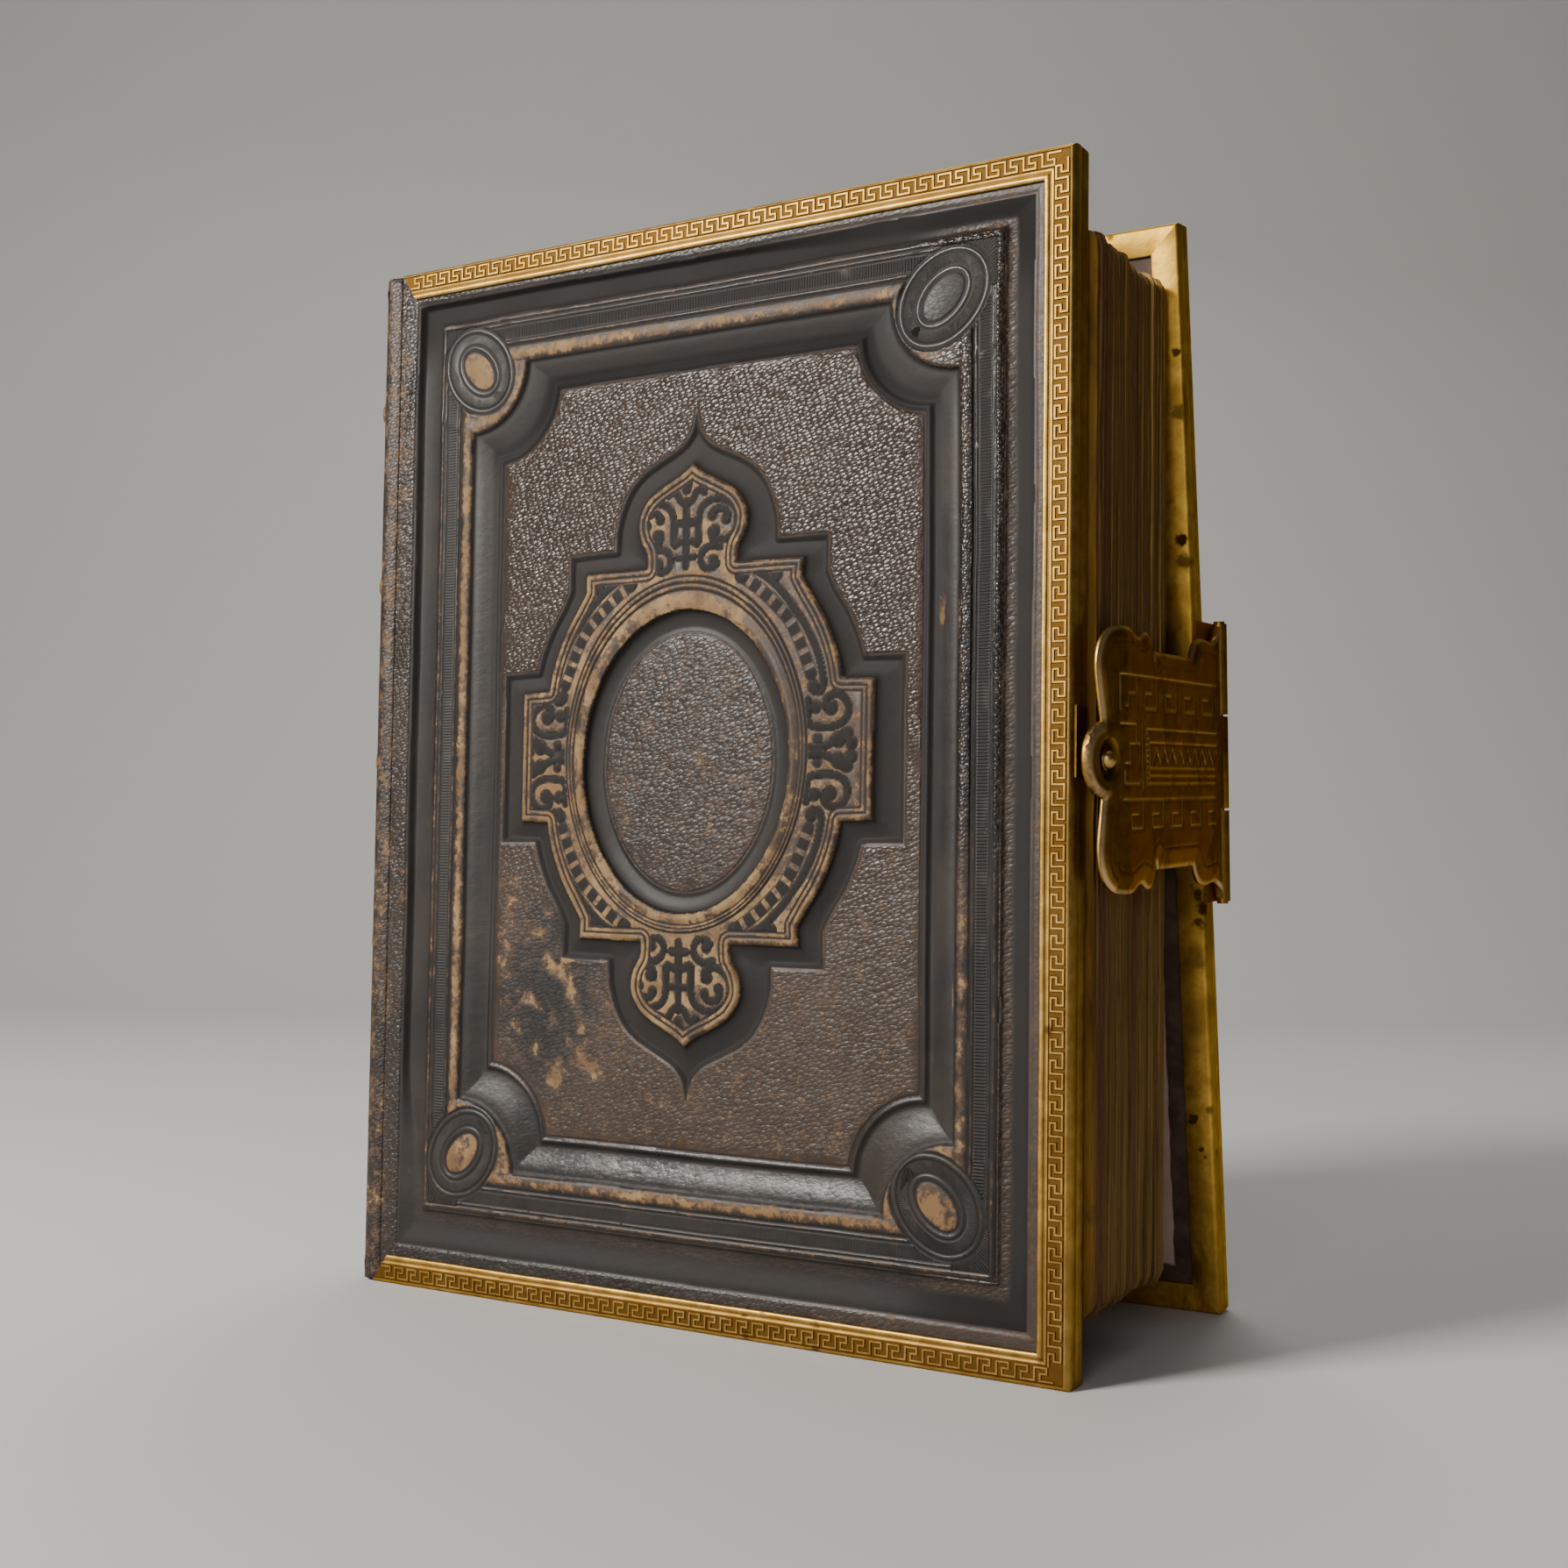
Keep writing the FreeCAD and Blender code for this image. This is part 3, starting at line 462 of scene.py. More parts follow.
# round dark spots and petals: u, v, radius
SPOTS = []
for _u, _v, _r in [(0, 38.0, 0.85), (0, 37.2, 0.65), (0, 38.7, 0.55), (0, 39.25, 0.3),
                   (4.75, 31.0, 0.75), (4.35, 33.2, 0.62), (6.6, 32.5, 0.62), (4.6, 26.9, 0.7),
                   (23.7, 5.75, 0.95), (21.3, 5.9, 0.8), (24.9, 1.4, 1.0), (26.2, 2.1, 0.85), (26.9, 0.9, 0.8),
                   (21.7, 1.6, 0.6), (14.8, 24.2, 0.9), (20.9, 8.7, 0.8), (9.2, 24.3, 0.85)]:
    for _sx in ((1, -1) if _u else (1,)):
        for _sy in (1, -1):
            SPOTS.append((_u * _sx, _v * _sy, _r))
# the ladder round the oval: dark cells between tan rungs
LADDER = np.array(spline([(9.6, 24.1), (12.1, 22.4), (14.4, 20.4), (16.6, 18.3), (18.2, 15.8), (19.4, 13.2),
                          (20.5, 10.4)], 8))
_seg = np.hypot(*np.diff(LADDER, axis=0).T)
_at = np.concatenate([[0], np.cumsum(_seg)])
RUNGS = []
for _i in range(8):
    _s = _at[-1] * (_i + 0.5) / 8
    _c = np.array([np.interp(_s, _at, LADDER[:, 0]), np.interp(_s, _at, LADDER[:, 1])])
    _n = np.array([np.interp(_s + 0.1, _at, LADDER[:, 0]), np.interp(_s + 0.1, _at, LADDER[:, 1])])
    RUNGS.append((_c, (_n - _c) / np.hypot(*(_n - _c))))


def ladder(p, q):
    """1 in the dark cells of the ladder, and the distance to its middle line"""
    pa, qa = np.abs(p), np.abs(q)
    dist = near_strokes(pa, qa, [LADDER], 1.6)
    cell = ss(0.86, 0.74, dist)
    for c_, t_ in RUNGS:
        al = np.abs((pa - c_[0]) * t_[0] + (qa - c_[1]) * t_[1])
        near_ = np.hypot(pa - c_[0], qa - c_[1]) < 1.4
        cell = np.where(near_, cell * ss(0.32, 0.46, al), cell)
    return cell, dist


ROSES = [  # centre x, z, direction to the corner, worn heart
    (18.05, 137.9, (-1, 1), 1.0), (95.7, 137.9, (1, 1), 0.12),
    (17.85, 20.6, (-1, -1), 1.0), (96.0, 20.6, (1, -1), 0.8)]


def relief(X, Z, full=True):
    """depth behind the rim face and the colour and surface masks of the front leather; a_dark among them carries
    painted shade in the hollows, coves and well
    """
    wx = (fbm(X / 23.0, Z / 19.0, 3, 2) - 0.5) * 0.34 + (noise(X / 5.0, Z / 5.0, 5) - 0.5) * 0.07
    wz = (fbm(X / 21.0, Z / 25.0, 9, 2) - 0.5) * 0.34 + (noise(X / 5.0, Z / 5.0, 8) - 0.5) * 0.07
    x, z = X + wx, Z + wz
    n1 = fbm(X / 6.0, Z / 6.0, 21, 3)
    n2 = fbm(X / 1.3, Z / 1.3, 33, 3)
    d = np.full(x.shape, TOP + 0.05)
    wear = np.zeros(x.shape)
    dark = np.zeros(x.shape)
    peb = np.zeros(x.shape)
    gloss = np.zeros(x.shape)
    hu = np.zeros(x.shape)
    hm = np.zeros(x.shape)
    light = np.zeros(x.shape)

    s_mar = box_rect(x, z, *MAR)          # > 0 on the pebbled margin
    s_out = box_rect(x, z, *OUT)          # > 0 outside the frame
    s_fr = box_rect(x, z, *FR)            # > 0 on the frame
    disc = np.full(x.shape, 1e9)
    bite = np.full(x.shape, 1e9)
    for cx_, cz_, sx, sz in [(FR[0], FR[1], -1, -1), (FR[2], FR[1], 1, -1),
                             (FR[0], FR[3], -1, 1), (FR[2], FR[3], 1, 1)]:
        disc = np.minimum(disc, np.hypot(x - cx_, z - cz_) - R_LOBE)
        px_ = (PN[0] if sx < 0 else PN[2]) + sx * E_BITE
        pz_ = (PN[1] if sz < 0 else PN[3]) + sz * E_BITE
        bite = np.minimum(bite, np.hypot(x - px_, z - pz_) - R_BITE)
    s_hole = np.maximum(s_fr, -disc)      # < 0 inside the frame
    s_pan = np.maximum(sd_rect(x, z, *PN), -bite)     # < 0 on the panel

    # --- pebbled margin
    m = s_mar > 0
    edge_r = hump(s_mar, 0.0, 0.8)
    d = np.where(m, TOP + 0.05 + 0.30 * edge_r * 0.5, d)
    peb = np.where(m, (0.45 + 0.25 * ss(20, 5, X) - 0.30 * ss(80, 100, X)) * ss(0.15, 0.7, s_mar), peb)
    wear = np.where(m, 0.20 * ss(0.40, 0.75, n1) + 0.16 * hump(s_mar, 1.0, 2.0) * ss(60, 90, X) + 0.26 * ss(6.5, 1.0, X) * (0.5 + 1.0 * n1)
                    + 0.22 * ss(2.4, 0.9, X), wear)
    light = np.where(m, 0.03 + 0.30 * ss(7.0, 2.0, X) + 0.45 * hump(s_mar, 1.0, 2.4) * ss(60, 90, X), light)
    dark = np.where(m, 0.35 * ss(1.6, 3.4, s_mar) * ss(60, 90, X), dark)
    # --- hollow between margin and frame
    cav = (s_mar <= 0) & (s_out > 0)
    t = np.clip(-s_mar / np.maximum(-s_mar + s_out, 1e-6), 0, 1)
    dd = 1.62 - 0.62 * t ** 2.4
    wide = 0.20 + 0.66 * np.maximum(ss(60, 95, x), ss(34, 14, z))      # softer at right and tail
    dd = dd - (1.62 - 0.62) * (1 - ss(-0.05, wide, t)) ** 1.1
    dd = dd - 0.32 * ss(0.90, 1.0, t)
    d = np.where(cav, dd, d)
    gloss = np.where(cav, 0.10, gloss)
    # painted shade: the hollow is darkened all over, most at the head, at the right-hand side and at the tail, and
    # along its two edges
    dark = np.where(cav, 0.30 + 0.55 * ss(136, 146, z) + 0.40 * ss(88, 99, x) + 0.25 * ss(16, 9, z) + 0.15 * ss(0.22, 0.0, t)
                    + 0.3 * ss(0.8, 1.0, t), dark)
    light = np.where(cav, 0.0, light)
    wear = np.where(cav, 0.16 * ss(0.55, 0.8, n1) * ss(0.1, 0.5, t), wear)
    rub_c = ss(0.52, 0.74, t + 0.10 * (n1 - 0.5)) * np.maximum(ss(88, 99, x), 0.5 * ss(20, 10, z))
    peb = np.where(cav, 0.55 * rub_c, peb)
    light = np.where(cav, 0.40 * rub_c, light)
    dark = np.where(cav, dark * (1 - 0.8 * rub_c), dark)
    wear = np.where(cav, np.maximum(wear, (0.16 + 0.34 * (n1 - 0.4)) * rub_c), wear)

    # --- frame: f runs 0 at its inner edge to 1 at its outer edge
    fin = np.maximum.reduce([(FR[0] - x) / (FR[0] - OUT[0]), (x - FR[2]) / (OUT[2] - FR[2]),
                             (FR[1] - z) / (FR[1] - OUT[1]), (z - FR[3]) / (OUT[3] - FR[3])])
    fr = (s_out <= 0) & (s_hole >= 0)
    f = np.clip(fin, 0, 1) * 6.5
    prof = np.full(x.shape, TOP)
    prof = prof - 0.20 * hump(f, 1.05, 1.15)
    for c_, w_, a_ in [(2.25, 0.20, 0.17), (2.95, 0.16, 0.13), (4.85, 0.16, 0.14), (5.45, 0.15, 0.12)]:
        prof = prof + a_ * hump(f, c_, w_ * 1.5)
    for c_, w_, a_ in [(2.6, 0.24, 0.10), (5.15, 0.22, 0.11), (5.80, 0.25, 0.11)]:
        prof = prof - 1.35 * a_ * hump(f, c_, w_)
    ridge = np.maximum.reduce([hump(f, 2.6, 0.26), hump(f, 5.15, 0.24), hump(f, 5.80, 0.26)])
    shine = ss(90, 98, x) * ss(45, 85, z)
    prof = prof + 0.06 * (ss(3.05, 3.25, f) - ss(4.55, 4.75, f))
    prof = prof + 0.32 * ss(6.15, 6.5, f)
    lines_dark = (0.95 * hump(f, 2.25, 0.26) + 0.8 * hump(f, 2.95, 0.22) + 0.85 * hump(f, 4.85, 0.22)
                  + 0.75 * hump(f, 5.45, 0.20))
    tanf = (0.95 * hump(f, 1.0, 1.35) + 0.42 * hump(f, 2.6, 0.3) + 0.38 * hump(f, 5.15, 0.26)
            + 0.55 * hump(f, 5.85, 0.36))
    side_l = ss(0.0, 0.3, (FR[0] - x)) * 1.0
    # how worn each side is
    amt = 0.80 + 0.25 * (n1 - 0.5) - 0.28 * ss(96, 100, x) - 0.12 * ss(140, 142, z)
    band = ss(3.10, 3.25, f) - ss(4.55, 4.72, f)
    vert = (np.maximum(FR[0] - x, x - FR[2]) > np.maximum(FR[1] - z, z - FR[3]))
    hband = band * np.where(vert, ss(90, 99, x) + 0.35 * ss(20, 16, x), 0.25 + 0.75 * ss(100, 130, z))
    # lobes: the round swell inside each corner
    lobe = disc < 0
    rose_d = np.full(x.shape, 9.0)
    rprof = np.zeros(x.shape)
    rdark = np.zeros(x.shape)
    rtan = np.zeros(x.shape)
    rhm = np.zeros(x.shape)
    rhu = np.zeros(x.shape)
    rheart = np.zeros(x.shape)
    for cx_, cz_, (sx, sz), worn in ROSES:
        a_ = np.array([sx, sz]) / math.sqrt(2)
        u = (x - cx_) * a_[0] + (z - cz_) * a_[1]
        v = -(x - cx_) * a_[1] + (z - cz_) * a_[0]
        q = e_dist(u, v, 7.45, 6.05)
        mine = q < 6
        q3 = e_dist(u, v, 3.75, 2.35)
        rose_d = np.minimum(rose_d, q)
        g = 0.16 * hump(q3, 0.0, 0.34) + 0.17 * hump(q3, 0.95, 0.26) - 0.12 * hump(q3, 0.55, 0.3) \
            + 0.15 * hump(q, -0.95, 0.24) - 0.10 * hump(q, -0.55, 0.32) + 0.16 * hump(q, -0.12, 0.26) \
            - 0.14 * ss(0.0, -1.6, q3) - 0.10 * hump(q, 0.35, 0.3)
        g = 0.60 * g
        rprof = np.where(mine, g, rprof)
        rdark = np.where(mine, 0.9 * hump(q3, 0.0, 0.34) + 0.8 * hump(q3, 0.95, 0.28)
                         + 0.9 * hump(q, -0.95, 0.26) + 0.9 * hump(q, -0.12, 0.26)
                         + 0.55 * ss(1.2, 1.5, q3) * ss(-0.7, -1.0, q), rdark)
        rtan = np.where(mine, worn * ss(0.05, -0.45, q3) * (0.86 + 0.55 * (n2 - 0.5)) + 0.20 * hump(q, -0.55, 0.3) * (0.4 + worn * 0.6),
                        rtan)
        ang = np.arctan2(v, u)
        right = 1.0 if sx > 0 else 0.25
        rhm = np.where(mine, right * (ss(1.05, 1.35, q3) * ss(-1.05, -1.35, q) * 0.55
                                      + ss(0.12, 0.35, q) * ss(4.8, 4.4, q)), rhm)
        rhu = np.where(mine, ang * 9.5, rhu)
        rheart = np.where(mine, ss(0.1, -0.3, q3) * (1 - worn), rheart)
    in_rose = ss(0.10, -0.05, rose_d)
    base = prof * (1 - in_rose) + (TOP + 0.02) * in_rose
    # the frame's lines stop in the tooled corner; a lobe carries its own edge
    corner = fr & (rose_d < 0.35)
    ld = lines_dark * (1 - in_rose) + rdark * ss(0.3, -0.1, rose_d)
    tn = tanf * (1 - in_rose) * amt + rtan * ss(0.3, -0.1, rose_d)
    ledge = hump(-disc, 0.9, 1.1) * lobe * (rose_d > 0)
    base = np.where(lobe & (s_fr < 0), TOP, base) + rprof * ss(0.9, 0.4, rose_d) - 0.12 * ledge
    tn = np.where(lobe & (s_fr < 0), rtan + 0.85 * amt * ss(0.0, 0.5, rose_d) * ss(-0.1, 0.5, -disc), tn)
    ld = np.where(lobe & (s_fr < 0), rdark * ss(0.5, 0.2, rose_d), ld)
    # square tooled corner outside the rose
    sq = fr & (rose_d >= 0) & (rose_d < 3.4) & (fin > 0.42)
    d = np.where(fr, base, d)
    # round the frame's inner edge over
    d = np.where(fr, d + 0.16 * ss(0.45, 0.0, s_hole), d)
    dark = np.where(fr, np.clip(ld, 0, 1) + 0.55 * band * (1 - in_rose), dark)
    wear = np.where(fr, tn, wear)
    gloss = np.where(fr, 0.30 * (1 - np.clip(tn, 0, 1)) + 0.15 * band + (0.35 + 0.5 * shine) * ridge
                     + 0.3 * shine, gloss)
    hm = np.where(fr, np.where(rose_d < 0.2, rhm, hband), hm)
    hu = np.where(fr, np.where(rose_d < 0.2, rhu, np.where(vert, Z, X)), hu)
    peb = np.where(fr, np.maximum(rheart * 0.30, 0.75 * shine * (1 - in_rose)
                                  * np.maximum(ss(2.2, 1.9, f), ss(5.3, 5.5, f))), peb)
    wear = np.where(fr, wear * (1 - 0.55 * shine * (1 - in_rose)), wear)
    dark = np.where(fr, np.maximum(dark, 0.75 * rheart * shine), dark)

    # radial tooling fills the square corner outside the rose
    both_ = np.minimum(np.maximum(FR[0] - x, x - FR[2]), np.maximum(FR[1] - z, z - FR[3]))
    sq = fr & (rose_d >= -0.02) & (both_ > 0) & (f < 5.5)
    d = np.where(sq, TOP + 0.03 + 0.10 * hump(rose_d, 0.0, 0.25), d)
    dark = np.where(sq, 0.35, dark)
    wear = np.where(sq, 0.0, wear)
    peb = np.where(sq, 0.0, peb)
    gloss = np.where(sq, 0.4, gloss)
    hm = np.where(sq, 0.8, hm)
    hu = np.where(sq, rhu, hu)

    # --- cove between frame and panel
    ch = (s_hole < 0) & (s_pan > 0)
    t = np.clip(s_pan / np.maximum(s_pan - s_hole, 1e-6), 0, 1)
    w_ = s_pan - s_hole
    lip = 0.75
    dd = D_DEEP - (D_DEEP - 0.98) * (0.12 * t + 0.88 * ss(0.15, 0.92, t))
    dd = dd - 0.10 * ss(0.92, 1.0, t)
    dd = np.where(s_pan < 1.5, D_PANEL + (dd - D_PANEL) * ss(0.45, 1.45, s_pan), dd)
    dd = dd - 0.14 * hump(s_pan, 0.55, 0.5)
    d = np.where(ch, dd, d)
    gloss = np.where(ch, 0.40 + 0.55 * ss(50, 20, Z) - 0.25 * ss(118, 132, z), gloss)
    # painted shade: the cove is darkened, most in its corner at the frame's foot, more on its panel side from the lower
    # third up, and more again at the head
    dark = np.where(ch, 0.65 * ss(0.86, 1.0, t) + 0.20 + 0.50 * ss(40, 70, z) * ss(0.55, 0.30, t)
                    + 0.30 * ss(118, 132, z), dark)
    light = np.where(ch, 0.0, light)
    peb = np.where(ch, 0.12 * ss(45, 20, Z), peb)
    wrink = ch & (z < 26)
    d = np.where(wrink, d + 0.035 * ss(0.60, 0.8, fbm(X / 1.1, Z / 0.55, 77, 2)) * ss(0.2, 0.5, t)
                 * hump(X, 52, 20), d)
    wear = np.where(ch, 0.10 * ss(0.62, 0.85, n1) * ss(0.8, 0.3, t), wear)

    # --- panel
    pn = s_pan <= 0
    u, v = x - CX, z - CY
    if full:
        s_moat = sd_poly(u, v, MOAT)
        s_med = sd_poly(u, v, MEDAL)
    else:
        s_moat = np.full(x.shape, 9.0)
        s_med = np.full(x.shape, 9.0)
    crown = 0.10 * (fbm(X / 17.0, Z / 17.0, 41, 2) - 0.5) + 0.05 * (n1 - 0.5)
    dd = D_PANEL + crown + 0.16 * hump(s_pan, -0.12, 0.22)
    d = np.where(pn, dd, d)
    peb = np.where(pn, ss(-0.2, -0.75, s_pan) * ss(0.15, 0.6, s_moat) * (0.55 + 0.45 * ss(40, 95, Z)), peb)
    dark = np.where(pn, 0.9 * hump(s_pan, -0.12, 0.26), dark)
    gloss = np.where(pn, 0.5 * ss(-0.6, -0.1, s_pan), gloss)
    # brown, rubbed leather on the lower half, with bare tan scrapes
    rub = ss(88, 40, Z + 10 * (n1 - 0.5)) * (0.42 if full else 0.25)
    scr = 0.42 * ss(0.60, 0.8, fbm(X / 3.5, Z / 4.5, 51, 3)) * ss(48, 30, X) * ss(30, 42, Z) * ss(76, 60, Z)
    for bx, bz, rx, rz, am in [(35, 48.5, 2.6, 1.2, 1.0), (36.6, 44.5, 0.55, 3.6, 0.95),
                               (38.4, 38.5, 0.55, 3.4, 0.9), (34.0, 32.6, 1.5, 1.9, 0.9),
                               (41.0, 34.2, 2.2, 1.0, 0.85), (31.0, 53, 0.7, 2.0, 0.85),
                               (25.0, 55, 0.8, 6.5, 0.55), (26.6, 60, 0.7, 3.0, 0.5),
                               (38.7, 36.0, 1.6, 1.4, 0.7), (43.5, 43.5, 1.4, 0.9, 0.45),
                               (32.6, 49.8, 0.9, 1.6, 0.8), (60, 131.6, 0.8, 0.7, 0.5)]:
        r_ = np.hypot((x - bx + 1.1 * (n2 - 0.5)) / rx, (z - bz + 1.6 * (n2 - 0.5)) / rz)
        scr = np.maximum(scr, am * ss(1.25, 0.55, r_))
    blk = ss(1.15, 0.55, np.hypot((x - 33.0 + 5 * (n1 - 0.5)) / 9.5, (z - 46.0 + 7 * (n1 - 0.5)) / 15.5))
    blk = blk * ss(0.32, 0.52, n1 * 0.6 + n2 * 0.4)
    if not full:
        scr, blk = 0.0 * scr, 0.0 * blk
        for bx, bz, rx, rz, am in [(78.0, 118.0, 1.3, 3.4, 0.8), (74.5, 112.0, 0.6, 2.2, 0.6),
                                   (46.0, 66.0, 2.4, 0.6, 0.7), (63.0, 34.0, 0.7, 2.8, 0.6)]:
            r_ = np.hypot((x - bx + 1.1 * (n2 - 0.5)) / rx, (z - bz + 1.6 * (n2 - 0.5)) / rz)
            scr = np.maximum(scr, am * ss(1.25, 0.55, r_))
    fleck = blk * ss(0.60, 0.72, fbm(X / 0.9, Z / 1.2, 87, 3)) * 0.55
    scr = np.maximum(scr, fleck)
    rub = rub * (1 - 0.85 * blk)
    dark = np.where(pn, np.maximum(dark, 0.60 * blk * (1 - np.clip(2 * scr, 0, 1))), dark)
    wear = np.where(pn, np.clip(rub * 0.55 + scr, 0, 1), wear)
    peb = np.where(pn, peb * (1 - 0.6 * np.clip(scr, 0, 1)), peb)
    light = np.where(pn, np.maximum(rub, (0.5 if full else 0.3) * (1 - blk)), light)

    if full:
        # --- cove round the medallion
        mt = pn & (s_moat < 0) & (s_med > 0)
        t = np.clip(-s_moat / np.maximum(-s_moat + s_med, 1e-6), 0, 1)
        dd = D_DEEP - (D_DEEP - 0.98) * t ** 1.7
        dd = np.where(-s_moat < 0.9, D_PANEL + 0.02 + (dd - D_PANEL - 0.02) * ss(0.1, 0.85, -s_moat), dd)
        dd = dd - 0.10 * ss(0.9, 1.0, t)
        d = np.where(mt, dd, d)
        d = np.where(pn & (s_moat >= 0) & (s_moat < 0.7), d - 0.07 * hump(s_moat, 0.3, 0.4), d)
        peb = np.where(mt, 0.0, peb)
        gloss = np.where(mt, 0.10, gloss)
        # painted shade: the cove round the medallion is darkened, most towards the medallion's foot and at the pad's
        # edge
        dark = np.where(mt, 0.62 + 0.35 * ss(0.7, 1.0, t) + 0.2 * ss(0.25, 0.0, t), dark)
        wear = np.where(mt, 0.0, wear)
        light = np.where(mt, 0.0, light)
        # --- medallion
        md = s_med <= 0
        p, q = u - PTU, v - PTV
        e = e_dist(u - OVU, v - OVV, OVA, OVB)
        er = e_dist(p, q, RGA, RGB)
        bord = -s_med
        dd = np.full(x.shape, TOP)
        dd = dd + 0.24 * ss(0.42, 0.0, bord)                      # rounded rim
        dd = dd - 0.08 * hump(bord, 0.55, 0.45) * ss(-0.2, 0.6, er)
        l1 = np.clip(hump(bord, 1.02, 0.20) + hump(bord, 1.75, 0.22), 0, 1) * ss(-0.1, 0.2, er)
        dd = dd + 0.15 * l1
        # mouldings round the oval
        tr = np.clip(e / np.maximum(e - er, 1e-6), 0, 1)
        ring = (e >= 0) & (er < 0)
        ell = (hump(tr, 0.60, 0.055) + hump(tr, 0.80, 0.05)) * ring + hump(er, 0.0, 0.24)
        dd = dd + np.where(ring, -0.24 * hump(tr, 0.26, 0.30) - 0.10 * hump(tr, 0.70, 0.10)
                           - 0.08 * hump(tr, 0.90, 0.09), 0.0)
        dd = dd + 0.16 * np.clip(ell, 0, 1)
        # stamped bands and spots
        okf = (bord > 1.9) & (er > 0.25)
        st = near_strokes(p, q, LINES, 0.8)
        core = ss(0.50, 0.40, st) * okf
        sl = hump(st, 0.54, 0.11) * okf
        sp = np.full(x.shape, 9.0)
        for su, sv, sr in SPOTS:
            w8 = np.nonzero((np.abs(p - su) < sr + 1) & (np.abs(q - sv) < sr + 1))
            if len(w8[0]):
                sp[w8] = np.minimum(sp[w8], np.hypot(p[w8] - su, q[w8] - sv) - sr)
        lad, lad_d = ladder(p, q)
        spd = np.maximum(ss(0.02, -0.10, sp), lad) * okf
        spr = np.maximum(hump(sp, 0.08, 0.16), 0.8 * hump(lad_d, 0.90, 0.12)) * okf * (1 - core)
        sl = sl * (1 - spd)
        dd = dd + 0.11 * sl + 0.11 * spr - 0.02 * np.maximum(core, spd) + 0.05 * okf
        d = np.where(md, dd, d)
        peb = np.where(md, 0.0, peb)
        band_ = np.maximum(core, spd)
        mw = 0.66 + 0.75 * (n1 - 0.5) + 0.35 * (n2 - 0.5) + 0.10 * ss(20, -25, u)
        mw = mw - 0.12 * ss(15, 42, v) * ss(-5, 8, u) * (er > 0) + 0.14 * ss(-10, -35, v)
        mw = mw - 0.30 * ring * ss(8, 15, u) * ss(-14, 0, v) - 0.25 * ring * (tr > 0.5) * ss(0.45, 0.6, n1)
        mw = mw * (1 - 0.35 * ss(0.35, 0.0, bord)) * (1 - band_)
        dk = np.clip(0.9 * l1 + 0.95 * np.clip(ell, 0, 1) + 1.0 * sl + 0.9 * spr, 0, 1)
        wear = np.where(md, mw * (1 - dk), wear)
        dark = np.where(md, np.maximum(dk, 0.90 * band_), dark)
        light = np.where(md, 0.35 * (1 - band_), light)
        gloss = np.where(md, 0.12 + 0.25 * band_, gloss)
        # --- oval well
        ov = md & (e < 0)
        s_fl = e_dist(u - OVU, v - OVV, FLA, FLB)
        t = np.clip(s_fl / np.maximum(s_fl - e, 1e-6), 0, 1)
        dd = D_DEEP - 0.06 - (D_DEEP - 1.06) * t ** 2.0
        dd = np.where(s_fl < 0.9, D_FLOOR + (dd - D_FLOOR) * ss(0.0, 0.8, s_fl), dd)
        dd = dd - 0.14 * ss(0.9, 1.0, t)
        d = np.where(ov, dd, d)
        d = np.where(ov & (s_fl <= 0), D_FLOOR + 0.10 * hump(s_fl, 0.0, 0.3)
                     + 0.10 * (fbm(X / 12.0, Z / 12.0, 61, 2) - 0.5), d)
        peb = np.where(ov, 0.62 * ss(0.1, -0.6, s_fl), peb)
        wear = np.where(ov, (0.20 + 0.22 * (n1 - 0.5)) * (s_fl < 0), wear)
        # painted shade: the well's wall is darkened, most under its rim and in the crease at the floor's edge
        dark = np.where(ov, 0.5 * ss(0.0, 0.3, t) + 0.45 * ss(0.6, 1.0, t) + 0.3 * hump(s_fl, 0.0, 0.3), dark)
        gloss = np.where(ov, 0.25 * ss(-0.2, 0.4, s_fl) + 0.4 * ss(-10, -16, v) * (s_fl > 0), gloss)
        light = np.where(ov, 0.28 * (s_fl < 0), light)
    # a few pale chips of the photo's upper right
    for bx, bz, rx, rz in [(95.2, 96.8, 0.5, 1.5), (98.1, 94.6, 0.45, 1.0), (97.4, 47.0, 0.35, 0.8),
                           (88.6, 9.0, 1.9, 0.4)]:
        r_ = np.hypot((x - bx + 0.5 * (n2 - 0.5)) / rx, (z - bz + 0.7 * (n2 - 0.5)) / rz)
        wear = np.maximum(wear, 1.25 * ss(1.1, 0.7, r_))
    d = d + 0.05 * (fbm(X / 9.0, Z / 9.0, 71, 2) - 0.5)
    return d, dict(a_wear=np.clip(wear, 0, 1.3), a_dark=np.clip(dark, 0, 1), a_peb=np.clip(peb, 0, 1),
                   a_gloss=np.clip(gloss, 0, 1), a_hu=hu, a_hm=np.clip(hm, 0, 1),
                   a_light=np.clip(light, 0, 1))


def lines_between(stops):
    """grid lines: (start, step) pairs, last one is the end"""
    out = []
    for (a, s), (b, _) in zip(stops[:-1], stops[1:]):
        n = max(1, int(round((b - a) / s)))
        out += list(a + (b - a) * np.arange(n) / n)
    out.append(stops[-1][0])
    return np.array(out)


